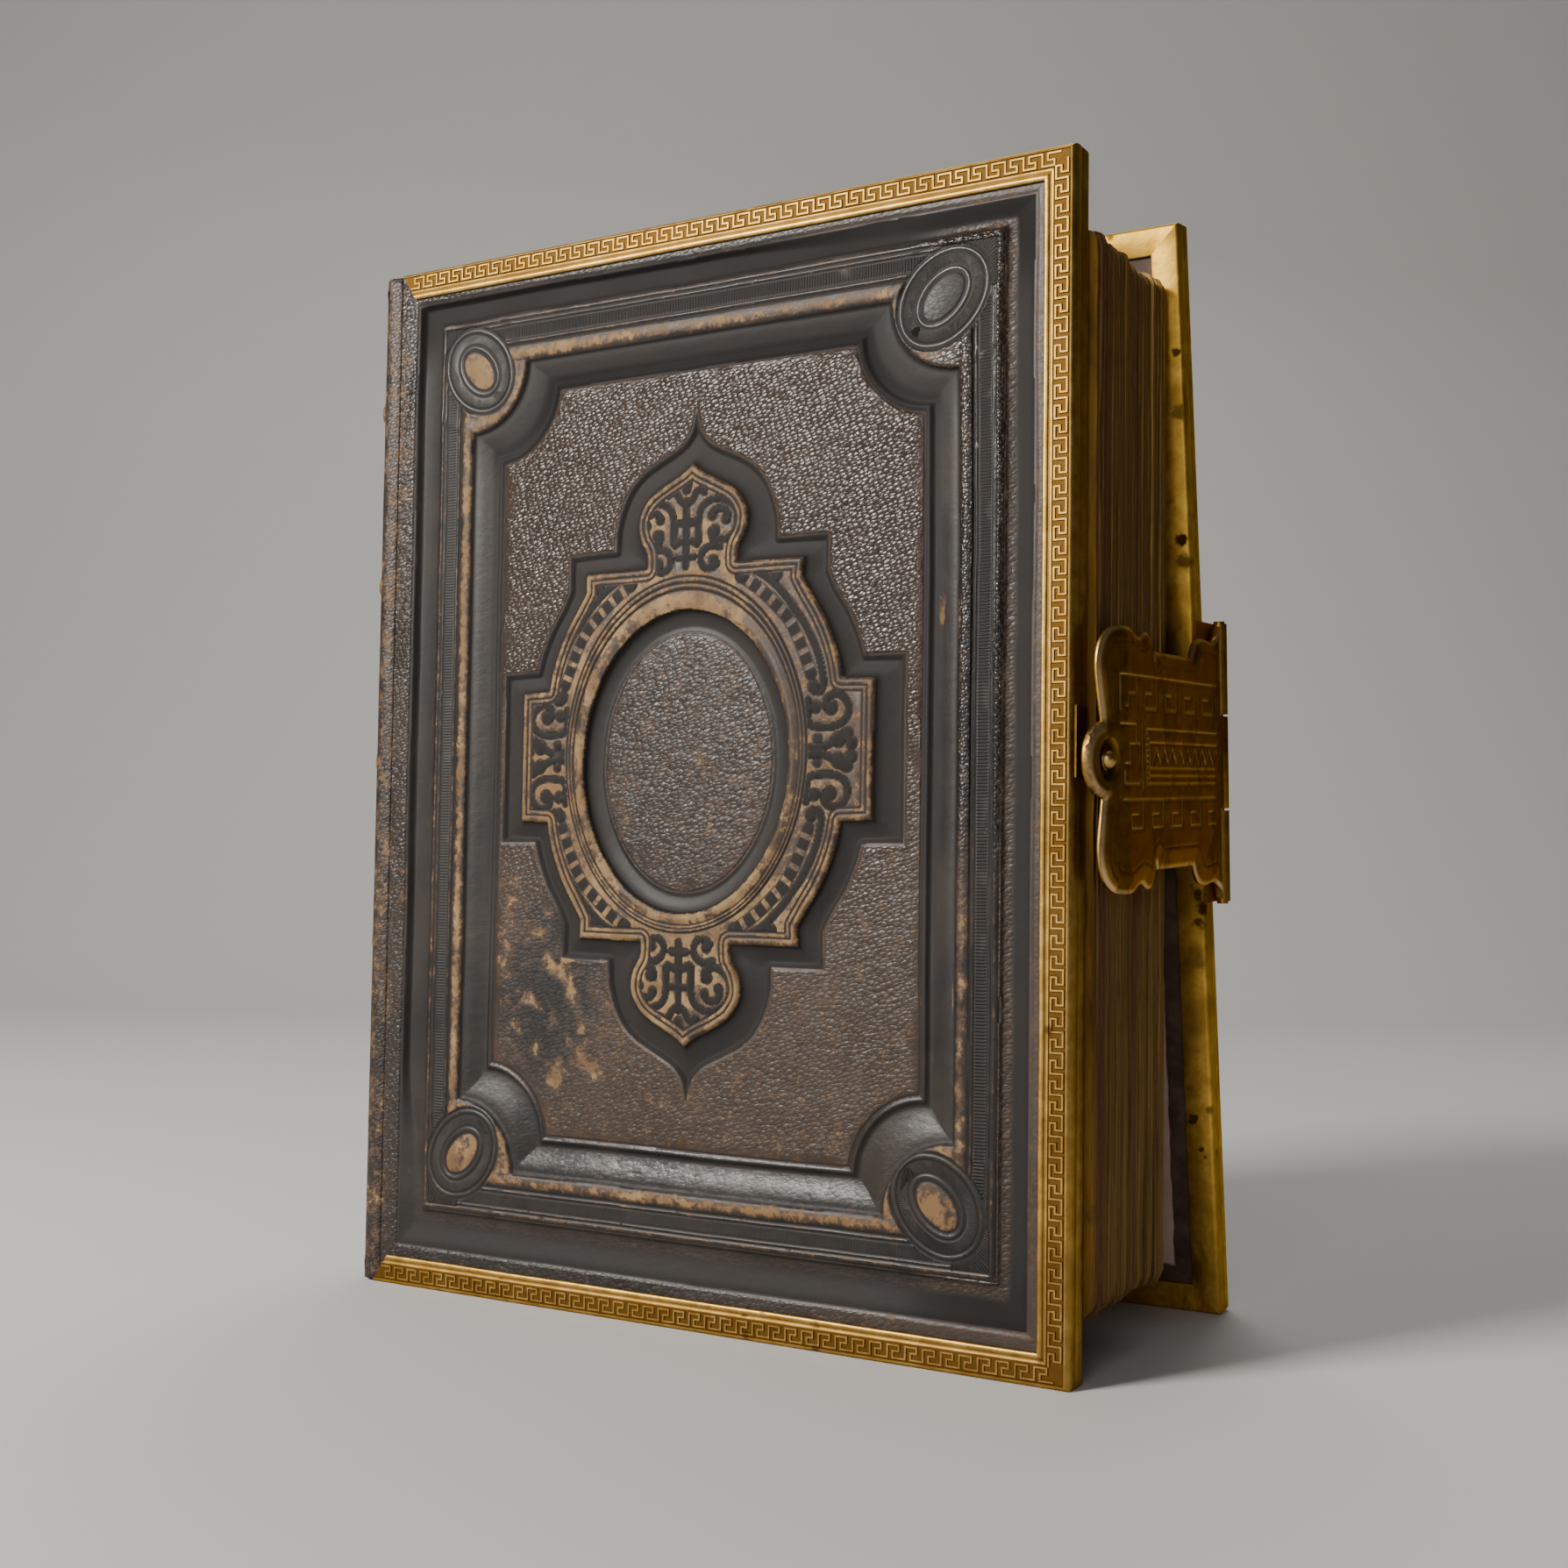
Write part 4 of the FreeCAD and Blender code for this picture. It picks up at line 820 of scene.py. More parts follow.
def cover_leather(name, full, to_frame, mirror, step, target):
    lo, hi_x, hi_z = 0.5, W - 0.5, H - 0.5
    R = 1.35
    left = lo + R * (1 - np.cos(np.radians([0, 9, 18, 27, 36, 46, 56, 66, 78])))
    xs = np.concatenate([left, lines_between([(lo + R + 0.1, 0.6), (5.0, step), (109.5, 1.2), (hi_x, 1)])])
    zs = lines_between([(lo, 1.2), (4.6, step), (H - 4.6, 1.2), (hi_z, 1)])
    gx, gz = np.meshgrid(xs, zs)
    # plan of the spine-side corners is rounded
    rc = 2.4
    over = np.clip(np.maximum(lo + rc - gz, gz - (hi_z - rc)), 0, rc)
    xb = rc - np.sqrt(np.maximum(rc * rc - over * over, 0))
    gx = gx + xb * (1 - ss(lo, lo + 7.0, gx))
    d, att = relief(gx, gz, full)
    # spine-side edge turns over
    ex = np.clip((lo + xb + R - gx) / R, 0, 1)
    d = d + R * (1 - np.sqrt(np.maximum(1 - ex * ex, 0)))
    # flat under the rims
    under = np.minimum.reduce([gz, H - gz, W - gx])
    d = np.where(under < 4.15, np.maximum(d, 0.52), d)
    back = T - 0.8

    def tf(v):
        return to_frame(v)
    o = relief_solid(name, gx, gz, d, back, tf, None, wall=[(0.0, 0.35), (0.0, 0.86), (0.25, 0.96), (0.55, 1.0)])
    decimate(o, target)
    return o


def write_leather_masks(o, full, back_map):
    """writes the masks, painted shade among them, at the final vertices"""
    a = back_map(coords(o))
    d, att = relief(a[:, 0], a[:, 2], full)
    side = ss(0.35, 0.9, np.abs(a[:, 1] - d))      # walls and back, off the face
    for k, v in att.items():
        if k in ("a_wear",):
            v = v * (1 - side) + side * 0.55
        elif k in ("a_peb",):
            v = v * (1 - side) + side * 0.6
        elif k in ("a_hm", "a_dark", "a_gloss"):
            v = v * (1 - side)
        put_attr(o, k, v)


# ------------------------------------------------------------ node helpers
class Nodes:
    def __init__(self, name):
        self.m = bpy.data.materials.new(name)
        self.m.use_nodes = True
        self.t = self.m.node_tree
        self.t.nodes.clear()
        self.out = self.t.nodes.new("ShaderNodeOutputMaterial")
        self.bsdf = self.t.nodes.new("ShaderNodeBsdfPrincipled")
        self.t.links.new(self.bsdf.outputs[0], self.out.inputs[0])
        self.obj = None

    def n(self, kind, **kw):
        node = self.t.nodes.new(kind)
        for k, v in kw.items():
            setattr(node, k, v)
        return node

    def link(self, a, b):
        self.t.links.new(a, b)

    def put(self, node, key, val):
        if hasattr(val, "node"):
            self.link(val, node.inputs[key])
        else:
            node.inputs[key].default_value = val

    def pos(self):
        if self.obj is None:
            self.obj = self.n("ShaderNodeTexCoord").outputs["Object"]
        return self.obj

    def tilted(self, colour, amount):
        """the surface normal leaned at random by a colour that is constant over each cell"""
        geo = self.n("ShaderNodeNewGeometry").outputs["Normal"]
        v = self.n("ShaderNodeVectorMath", operation="SUBTRACT")
        self.link(colour, v.inputs[0])
        v.inputs[1].default_value = (0.5, 0.5, 0.5)
        w = self.n("ShaderNodeVectorMath", operation="SCALE")
        self.link(v.outputs[0], w.inputs[0])
        self.put(w, "Scale", amount)
        a = self.n("ShaderNodeVectorMath", operation="ADD")
        self.link(geo, a.inputs[0])
        self.link(w.outputs[0], a.inputs[1])
        nn = self.n("ShaderNodeVectorMath", operation="NORMALIZE")
        self.link(a.outputs[0], nn.inputs[0])
        return nn.outputs[0]

    def mapped(self, scale=(1, 1, 1), loc=(0, 0, 0), rot=(0, 0, 0), vec=None):
        mp = self.n("ShaderNodeMapping")
        self.link(vec if vec is not None else self.pos(), mp.inputs["Vector"])
        mp.inputs["Scale"].default_value = scale
        mp.inputs["Location"].default_value = loc
        mp.inputs["Rotation"].default_value = rot
        return mp.outputs[0]

    def noise(self, scale, detail=2.0, rough=0.5, vec=None, dist=0.0):
        nd = self.n("ShaderNodeTexNoise")
        self.put(nd, "Scale", scale)
        self.put(nd, "Detail", detail)
        self.put(nd, "Roughness", rough)
        self.put(nd, "Distortion", dist)
        self.link(vec if vec is not None else self.pos(), nd.inputs["Vector"])
        return nd.outputs["Fac"]

    def voronoi(self, scale, feature="F1", vec=None, rnd=1.0, out="Distance", smooth=None):
        nd = self.n("ShaderNodeTexVoronoi")
        nd.feature = feature
        self.put(nd, "Scale", scale)
        self.put(nd, "Randomness", rnd)
        if smooth is not None and "Smoothness" in nd.inputs:
            nd.inputs["Smoothness"].default_value = smooth
        self.link(vec if vec is not None else self.pos(), nd.inputs["Vector"])
        return nd.outputs[out]

    def attr(self, name):
        nd = self.n("ShaderNodeAttribute")
        nd.attribute_type = "GEOMETRY"
        nd.attribute_name = name
        return nd.outputs["Fac"]

    def math(self, op, a, b=0.0, c=None, clamp=False):
        nd = self.n("ShaderNodeMath", operation=op, use_clamp=clamp)
        self.put(nd, 0, a)
        self.put(nd, 1, b)
        if c is not None:
            self.put(nd, 2, c)
        return nd.outputs[0]

    def ramp(self, fac, lo, hi, a=0.0, b=1.0):
        nd = self.n("ShaderNodeMapRange", interpolation_type="SMOOTHSTEP")
        self.put(nd, "Value", fac)
        self.put(nd, "From Min", lo)
        self.put(nd, "From Max", hi)
        self.put(nd, "To Min", a)
        self.put(nd, "To Max", b)
        return nd.outputs["Result"]

    def mix(self, fac, a, b, mode="MIX"):
        nd = self.n("ShaderNodeMix", data_type="RGBA", blend_type=mode)
        self.put(nd, 0, fac)
        for i, v in ((6, a), (7, b)):
            if hasattr(v, "node"):
                self.link(v, nd.inputs[i])
            else:
                nd.inputs[i].default_value = (*v, 1.0)
        return nd.outputs[2]

    def bump(self, height, dist, strength=1.0, prev=None):
        nd = self.n("ShaderNodeBump")
        self.put(nd, "Height", height)
        self.put(nd, "Distance", dist)
        self.put(nd, "Strength", strength)
        if prev is not None:
            self.link(prev, nd.inputs["Normal"])
        return nd.outputs[0]

    def set(self, key, val):
        if hasattr(val, "node"):
            self.link(val, self.bsdf.inputs[key])
        else:
            self.bsdf.inputs[key].default_value = val


def leather_material(name, masks=True, wear=0.35, pebble=0.7):
    k = Nodes(name)
    if masks:
        a_wear, a_dark = k.attr("a_wear"), k.attr("a_dark")
        a_peb, a_gloss = k.attr("a_peb"), k.attr("a_gloss")
        a_hu, a_hm, a_light = k.attr("a_hu"), k.attr("a_hm"), k.attr("a_light")
    else:
        a_wear, a_dark, a_peb, a_gloss = wear, 0.0, pebble, 0.1
        a_hu, a_hm, a_light = 0.0, 0.0, 0.1
    grain_vec = k.mapped(scale=(0.66, 1.0, 1.20), vec=k.mapped(rot=(0, 0.30, 0)))
    cell = k.voronoi(1680.0, "DISTANCE_TO_EDGE", grain_vec, 1.0)
    facet = k.voronoi(1680.0, "F1", grain_vec, 1.0, out="Color")
    dist = k.voronoi(1680.0, "F1", grain_vec, 1.0)
    dome = k.math("SUBTRACT", 1.0, k.math("MULTIPLY", dist, dist))
    plateau = k.ramp(cell, 0.0, 0.12)
    tilt = k.noise(900.0, 2.0, 0.55, grain_vec, 0.3)
    crease = k.noise(330.0, 3.0, 0.6, grain_vec, 0.5)
    fine = k.noise(5200.0, 3.0, 0.6)
    mott = k.noise(95.0, 3.0, 0.55)
    big = k.noise(28.0, 2.0, 0.5)
    valley = k.math("MULTIPLY", k.math("SUBTRACT", 1.0, plateau), a_peb)
    # dark leather, browner where it is rubbed, bare tan on the high parts
    col = k.mix(k.ramp(mott, 0.35, 0.7), (0.0140, 0.0112, 0.0098), (0.028, 0.0210, 0.0170))
    col = k.mix(k.math("MULTIPLY", a_light, 0.85, clamp=True), col, (0.072, 0.043, 0.026))
    # painted shade: the valleys between the grain's pebbles are darkened
    col = k.mix(k.math("MULTIPLY", valley, 0.80, clamp=True), col, (0.0075, 0.0048, 0.0036))
    n_a = k.noise(420.0, 5.0, 0.68)
    n_b = k.noise(1500.0, 3.0, 0.65)
    brk = k.math("ADD", k.math("MULTIPLY", k.math("SUBTRACT", n_a, 0.5), 2.3),
                 k.math("MULTIPLY", k.math("SUBTRACT", n_b, 0.5), 1.6))
    w = k.math("ADD", a_wear, k.math("MULTIPLY", brk, 0.85))
    w = k.math("SUBTRACT", w, k.math("MULTIPLY", valley, 0.25))
    brown_m = k.ramp(w, 0.18, 0.55)
    tan_m = k.ramp(w, 0.50, 0.86)
    on = k.ramp(a_wear, 0.03, 0.15)
    brown_m = k.math("MULTIPLY", brown_m, on)
    tan_m = k.math("MULTIPLY", tan_m, on)
    tan = k.mix(k.ramp(k.noise(190.0, 4.0, 0.65), 0.3, 0.7), (0.120, 0.066, 0.028), (0.290, 0.185, 0.085))
    tan = k.mix(k.ramp(big, 0.45, 0.65), tan, (0.175, 0.098, 0.040))
    col = k.mix(brown_m, col, (0.062, 0.034, 0.017))
    col = k.mix(tan_m, col, tan)
    # a_dark darkens the tooled lines and dark patches, and paints shade in the hollow, the coves and the well
    col = k.mix(k.math("MULTIPLY", a_dark, 0.95, clamp=True), col, (0.0060, 0.0048, 0.0042))
    k.set("Base Color", col)
    rough = k.math("SUBTRACT", 0.47, k.math("MULTIPLY", a_gloss, 0.24))
    rough = k.math("SUBTRACT", rough, k.math("MULTIPLY", a_peb, 0.24))
    rough = k.math("ADD", rough, k.math("MULTIPLY", k.math("SUBTRACT", mott, 0.5), 0.20))
    rough = k.math("ADD", rough, k.math("MULTIPLY", a_dark, 0.46))
    rough = k.math("ADD", rough, k.math("MULTIPLY", tan_m, 0.20))
    rough = k.math("ADD", rough, k.math("MULTIPLY", brown_m, 0.10))
    rough = k.math("ADD", rough, k.math("MULTIPLY", valley, 0.30), clamp=True)
    k.set("Roughness", rough)
    k.set("IOR", 1.42)
    b = k.tilted(facet, k.math("ADD", k.math("MULTIPLY", a_peb, 0.21), 0.02))
    b = k.bump(k.math("MULTIPLY", dome, a_peb), 0.00016, 1.0, b)
    b = k.bump(k.math("MULTIPLY", plateau, a_peb), 0.00002, 0.8, b)
    b = k.bump(k.math("MULTIPLY", tilt, k.math("ADD", k.math("MULTIPLY", a_peb, 0.85), 0.15)), 0.00014, 0.8, b)
    b = k.bump(k.math("MULTIPLY", crease, k.math("ADD", k.math("MULTIPLY", a_peb, 0.5), 0.5)), 0.00024, 0.6, b)
    b = k.bump(fine, 0.00003, 0.6, b)
    wv = k.math("SINE", k.math("MULTIPLY", a_hu, 2 * math.pi / 0.43))
    b = k.bump(k.math("MULTIPLY", wv, a_hm), 0.00008, 0.9, b)
    k.link(b, k.bsdf.inputs["Normal"])
    return k.m


def brass_material(name, lo, hi, tarnish=0.5, masks=True, lit=None, rough=0.25, marks=()):
    """lo, hi: colours of dull and bright metal; lit: colour of the painted highlights on edges and lines;
    marks: round dark blotches on the metal (album mm, radius mm, depth of colour)"""
    k = Nodes(name)
    rec = k.attr("a_rec") if masks else 0.0
    big = k.noise(55.0, 3.0, 0.6)
    mid = k.noise(420.0, 4.0, 0.65)
    spot = k.voronoi(330.0, "F1", None, 1.0)
    streak = k.noise(150.0, 4.0, 0.7, k.mapped(scale=(1.0, 1.0, 0.35)))
    dull = tuple(c * 0.52 for c in lo)
    col = k.mix(k.ramp(mid, 0.35, 0.7), lo, hi)
    col = k.mix(k.math("MULTIPLY", k.ramp(big, 0.44, 0.70), tarnish), col, dull)
    col = k.mix(k.math("MULTIPLY", k.ramp(streak, 0.56, 0.70), tarnish), col, dull)
    spots = k.math("MULTIPLY", k.ramp(spot, 0.30, 0.10), k.ramp(k.noise(95.0, 2.0, 0.5), 0.54, 0.68))
    spots = k.math("MULTIPLY", spots, min(1.0, tarnish * 1.6), clamp=True)
    col = k.mix(spots, col, (0.060, 0.027, 0.009))
    wob = k.math("MULTIPLY", k.math("SUBTRACT", k.noise(520.0, 3.0, 0.6), 0.5), 0.0034)
    for mx, my, mz, mr, ms in marks:
        nd = k.n("ShaderNodeVectorMath", operation="DISTANCE")
        k.link(k.pos(), nd.inputs[0])
        nd.inputs[1].default_value = tuple(P(np.array([[mx, my, mz]]))[0])
        at = k.ramp(k.math("ADD", nd.outputs["Value"], wob), mr * 0.0011, mr * 0.0003, 0.0, ms)
        col = k.mix(at, col, (0.055, 0.026, 0.006))
        spots = k.math("MAXIMUM", spots, at)
    if lit:
        # painted highlight: a_lit mixes the light colour in along the edges and lines
        col = k.mix(k.math("MULTIPLY", k.attr("a_lit"), 0.9, clamp=True), col, lit)
    col = k.mix(k.math("MULTIPLY", rec, 0.94, clamp=True), col, tuple(c * f_ for c, f_ in zip(lo, (0.20, 0.15, 0.10))))
    k.set("Base Color", col)
    k.set("Metallic", 1.0)
    k.set("Specular Tint", tuple(min(1.0, 1.1 * c / hi[0]) for c in hi) + (1.0,))
    r = k.math("ADD", rough, k.math("MULTIPLY", mid, 0.18))
    r = k.math("ADD", r, k.math("MULTIPLY", spots, 0.35))
    r = k.math("ADD", r, k.math("MULTIPLY", rec, 0.25), clamp=True)
    k.set("Roughness", r)
    b = k.bump(k.noise(900.0, 4.0, 0.6), 0.00006, 0.7)
    b = k.bump(k.noise(5200.0, 2.0, 0.5), 0.000012, 0.5, b)
    k.link(b, k.bsdf.inputs["Normal"])
    return k.m


def edge_material(name):
    """gilt edges of the card leaves"""
    k = Nodes(name)
    a_e = k.attr("a_edge")          # 1 on the gilt edges, 0 on the faces
    a_t = k.attr("a_torn")
    a_i = k.attr("a_leaf")          # one value per leaf
    streak = k.noise(1.0, 4.0, 0.7, k.mapped(scale=(200.0, 4200.0, 26.0)))
    st2 = k.noise(1.0, 3.0, 0.6, k.mapped(scale=(90.0, 900.0, 9.0), loc=(3.1, 0.7, 0.2)))
    rub = k.noise(130.0, 4.0, 0.65)
    gold = k.mix(k.ramp(streak, 0.30, 0.72), (0.060, 0.027, 0.0055), (0.26, 0.145, 0.024))
    gold = k.mix(k.math("MULTIPLY", k.ramp(st2, 0.58, 0.74), 0.6), gold, (0.38, 0.245, 0.075))
    gold = k.mix(k.ramp(k.math("ADD", a_i, k.math("MULTIPLY", rub, 0.3)), 0.75, 1.1), gold, (0.095, 0.022, 0.012))
    gold = k.mix(k.ramp(rub, 0.54, 0.72), gold, (0.115, 0.060, 0.018))
    paper = k.mix(k.ramp(k.noise(70.0, 3.0, 0.6), 0.3, 0.7), (0.55, 0.46, 0.34), (0.70, 0.62, 0.49))
    fox = k.math("MULTIPLY", k.ramp(k.voronoi(95.0), 0.26, 0.08), k.ramp(k.noise(60.0, 2.0), 0.5, 0.64))
    paper = k.mix(fox, paper, (0.34, 0.20, 0.09))
    col = k.mix(a_e, paper, gold)
    col = k.mix(a_t, col, (0.60, 0.52, 0.40))
    k.set("Base Color", col)
    k.set("Metallic", k.math("MULTIPLY", k.math("MULTIPLY", a_e, 0.42), k.math("SUBTRACT", 1.0, a_t), clamp=True))
    k.set("Roughness", k.math("ADD", 0.74, k.math("MULTIPLY", a_e, -0.26)))
    k.set("IOR", 1.36)
    k.set("Specular Tint", (1.0, 0.72, 0.36, 1.0))
    b = k.bump(streak, 0.00012, 0.7)
    b = k.bump(k.noise(2500.0, 3.0, 0.6), 0.00003, 0.5, b)
    k.link(b, k.bsdf.inputs["Normal"])
    return k.m


def lining_material(name, x0, x1, border_rear):
    """pale pink pastedown with a darker turned-in border"""
    k = Nodes(name)
    sep = k.n("ShaderNodeSeparateXYZ")
    k.link(k.pos(), sep.inputs[0])
    dx = k.math("SUBTRACT", x1, sep.outputs[0])
    dz = k.math("MINIMUM", k.math("SUBTRACT", 0.1545, sep.outputs[2]), k.math("SUBTRACT", sep.outputs[2], 0.0005))
    edge = k.math("MINIMUM", dx, dz)
    edge = k.math("ADD", edge, k.math("MULTIPLY", k.math("SUBTRACT", k.noise(260.0, 3.0), 0.5), 0.0009))
    bor = k.ramp(edge, 0.0062, 0.0058)
    pap = k.mix(k.ramp(k.noise(75.0, 4.0, 0.6), 0.3, 0.7), (0.50, 0.345, 0.285), (0.64, 0.480, 0.405))
    fox = k.math("MULTIPLY", k.ramp(k.voronoi(70.0), 0.30, 0.10), k.ramp(k.noise(45.0, 2.0), 0.5, 0.66))
    pap = k.mix(k.math("MULTIPLY", fox, 0.8), pap, (0.30, 0.165, 0.085))
    brd = k.mix(k.ramp(k.noise(300.0, 3.0, 0.6), 0.3, 0.7), (0.050, 0.026, 0.017), (0.105, 0.058, 0.038))
    k.set("Base Color", k.mix(bor, pap, brd))
    k.set("Roughness", 0.72)
    b = k.bump(k.noise(1300.0, 4.0, 0.6), 0.00006, 0.5)
    b = k.bump(bor, 0.00025, 1.0, b)
    k.link(b, k.bsdf.inputs["Normal"])
    return k.m


def board_material(name):
    k = Nodes(name)
    col = k.mix(k.ramp(k.noise(150.0, 4.0, 0.65), 0.3, 0.7), (0.20, 0.145, 0.095), (0.31, 0.24, 0.165))
    col = k.mix(k.ramp(k.noise(900.0, 3.0, 0.7, k.mapped(scale=(1, 0.15, 1))), 0.55, 0.75), col, (0.42, 0.35, 0.26))
    k.set("Base Color", col)
    k.set("Roughness", 0.85)
    k.link(k.bump(k.noise(2000.0, 4.0, 0.6), 0.00008, 0.6), k.bsdf.inputs["Normal"])
    return k.m


def dress(o, mat):
    o.data.materials.clear()
    o.data.materials.append(mat)


def dress_cad(name, mat):
    o = frame["nodes"][name]
    if not len(o.material_slots):
        o.data.materials.append(mat)
    for s in o.material_slots:
        s.material = mat


M_LEATHER = leather_material("album_leather")
M_LEATHER_PLAIN = leather_material("album_leather_plain", masks=False, wear=0.42, pebble=0.75)
M_RIM = brass_material("rim_gilt_brass", (0.41, 0.238, 0.055), (0.59, 0.375, 0.108), 0.45, rough=0.33)
M_RIM_REAR = brass_material("rear_rim_gilt_brass", (0.58, 0.33, 0.048), (0.80, 0.51, 0.095), 1.0, rough=0.40,
                            marks=[(115.4, 36.5, 110.3, 1.1, 0.95), (115.8, 36.9, 107.2, 1.7, 0.7),
                                   (115.8, 33.1, 136.0, 0.9, 0.8), (115.9, 34.2, 127.9, 1.2, 0.6),
                                   (116.0, 43.0, 60.6, 1.4, 0.9), (116.6, 43.3, 58.6, 1.5, 0.95),
                                   (115.7, 43.6, 56.4, 1.3, 0.8), (115.0, 44.2, 51.6, 2.6, 0.5),
                                   (113.7, 47.3, 28.4, 0.6, 0.9), (115.2, 47.8, 24.1, 0.6, 0.85),
                                   (115.4, 48.0, 23.0, 0.5, 0.85), (114.2, 45.5, 41.0, 1.6, 0.35)])
# painted shade: the clasp's brass is given darker, browner colours than the rims' brass, for the shade the clasp stands
# in
M_CLASP = brass_material("clasp_brass_shaded", (0.24, 0.112, 0.012), (0.37, 0.190, 0.026), 0.35,
                         lit=(0.86, 0.62, 0.30), rough=0.30)
M_CLASP_CAD = brass_material("clasp_brass_plain", (0.30, 0.155, 0.022), (0.44, 0.25, 0.050), 0.5, masks=False)
M_CATCH = brass_material("catch_brass_dull", (0.13, 0.068, 0.014), (0.20, 0.112, 0.026), 0.8, masks=False,
                         rough=0.45)
M_EDGE = edge_material("gilt_leaf_edges")
M_BOARD = board_material("binders_board")

# ------------------------------------------------------------ covers' leather
STEP = 0.16


def f_front(v):
    return v


front = cover_leather("front_leather_skin", True, f_front, False, STEP, 196000)
write_leather_masks(front, True, lambda c: c * 1000.0 + np.array([OX, OY, 0.0]))
dress(front, M_LEATHER)
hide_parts("front_leather")
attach(front, "front_cover")


def f_rear(v):
    w = v.copy()
    w[:, 1] = T - v[:, 1]
    return rear(w)


def unrear(c):
    a = c * 1000.0 + np.array([OX, OY, 0.0])
    cs, sn = math.cos(LEAN), math.sin(LEAN)
    y, z = a[:, 1] - REAR_Y, a[:, 2]
    out = a.copy()
    out[:, 0] = a[:, 0] - REAR_X
    out[:, 1] = T - (y * cs + z * sn)
    out[:, 2] = -y * sn + z * cs
    return out


back_leather = cover_leather("rear_leather_skin", False, f_rear, True, 0.34, 60000)
recalc(back_leather)
write_leather_masks(back_leather, False, unrear)
dress(back_leather, M_LEATHER)
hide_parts("rear_leather")
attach(back_leather, "rear_cover")

# ------------------------------------------------------------ rims
FACE = 4.3          # width of the outer flange
INNER = 4.0


def rim_section():
    """closed outline of the rim's section: distance from the outer edge, depth,
    and how dirty it is there"""
    pts = []

    def a(d, y, r=0.0):
        pts.append((d, y, r))
    # outer face, inner side first
    a(FACE, 0.34, 0.9)
    for k in range(7):                      # inner bead
        t = math.pi * k / 6
        a(3.88 + 0.40 * math.cos(t), 0.26 - 0.24 * math.sin(t), 0.5 if k in (0, 6) else 0.0)
    a(3.36, 0.26, 0.8)
    a(3.16, 0.14, 0.15)
    a(2.98, 0.14, 0.2)
    a(2.90, 0.22, 1.0)
    a(2.80, 0.18, 1.0)
    a(2.72, 0.18, 0.93)
    a(0.82, 0.18, 0.93)
    a(0.74, 0.18, 1.0)
    a(0.66, 0.20, 0.9)
    for k in range(8):                      # outer bead turns into the edge
        t = math.radians(90 * k / 7)
        a(0.60 - 0.60 * math.sin(t), 0.05 + 1.30 * (1 - math.cos(t)), 0.0)
    a(0.0, 2.25, 0.05)
    a(0.07, 2.40, 0.9)                      # a groove along the edge
    a(0.0, 2.55, 0.2)
    a(0.0, 4.35, 0.1)
    a(0.05, 4.70, 0.1)
    a(0.20, 4.92, 0.0)
    a(0.45, T, 0.0)
    a(INNER - 0.25, T, 0.1)
    a(INNER - 0.05, T - 0.08, 0.2)
    a(INNER, T - 0.30, 0.8)
    a(INNER, T - 0.5, 0.8)
    a(0.5, T - 0.5, 0.8)
    a(0.5, 0.5, 0.8)
    a(FACE, 0.5, 0.9)
    return pts


SEC = rim_section()
# one unit of the key pattern: t along, s across (1 = outer edge)
KEY = [(0.0, 1.0), (0.70, 1.0), (0.70, 0.45), (0.36, 0.45), (0.36, 0.0), (1.0, 0.0), (1.0, 1.0)]
K0, K1 = 0.98, 2.58        # band of the key pattern
KW = 0.29                  # width of its lines


def ribbon(path, half, base, top, wob):
    """raised line along a right-angled path of (t, d) points"""
    p = np.array(path, float)
    n = len(p)
    off = np.zeros((n, 2))
    for i in range(n):
        a = p[i] - p[i - 1] if i else p[1] - p[0]
        b = p[i + 1] - p[i] if i + 1 < n else p[-1] - p[-2]
        a, b = a / np.linalg.norm(a), b / np.linalg.norm(b)
        na, nb = np.array([-a[1], a[0]]), np.array([-b[1], b[0]])
        m = na + nb
        off[i] = m / max(m @ na, 0.35)
    rows = []
    for k, (w, y) in enumerate([(-1.0, base), (-0.55, top), (0.55, top), (1.0, base)]):
        q = p + off * half * w
        rows.append(np.column_stack([q, np.full(n, y)]))
    v = np.stack(rows, 1).reshape(-1, 3)
    f = grid_faces(n, 4)
    caps = np.array([[0, 1, 2, 3], [4 * n - 1, 4 * n - 2, 4 * n - 3, 4 * n - 4]])
    bott = np.stack([np.arange(n - 1) * 4, np.arange(n - 1) * 4 + 4,
                     np.arange(n - 1) * 4 + 7, np.arange(n - 1) * 4 + 3], -1)
    return v, np.concatenate([f, caps, bott]), k


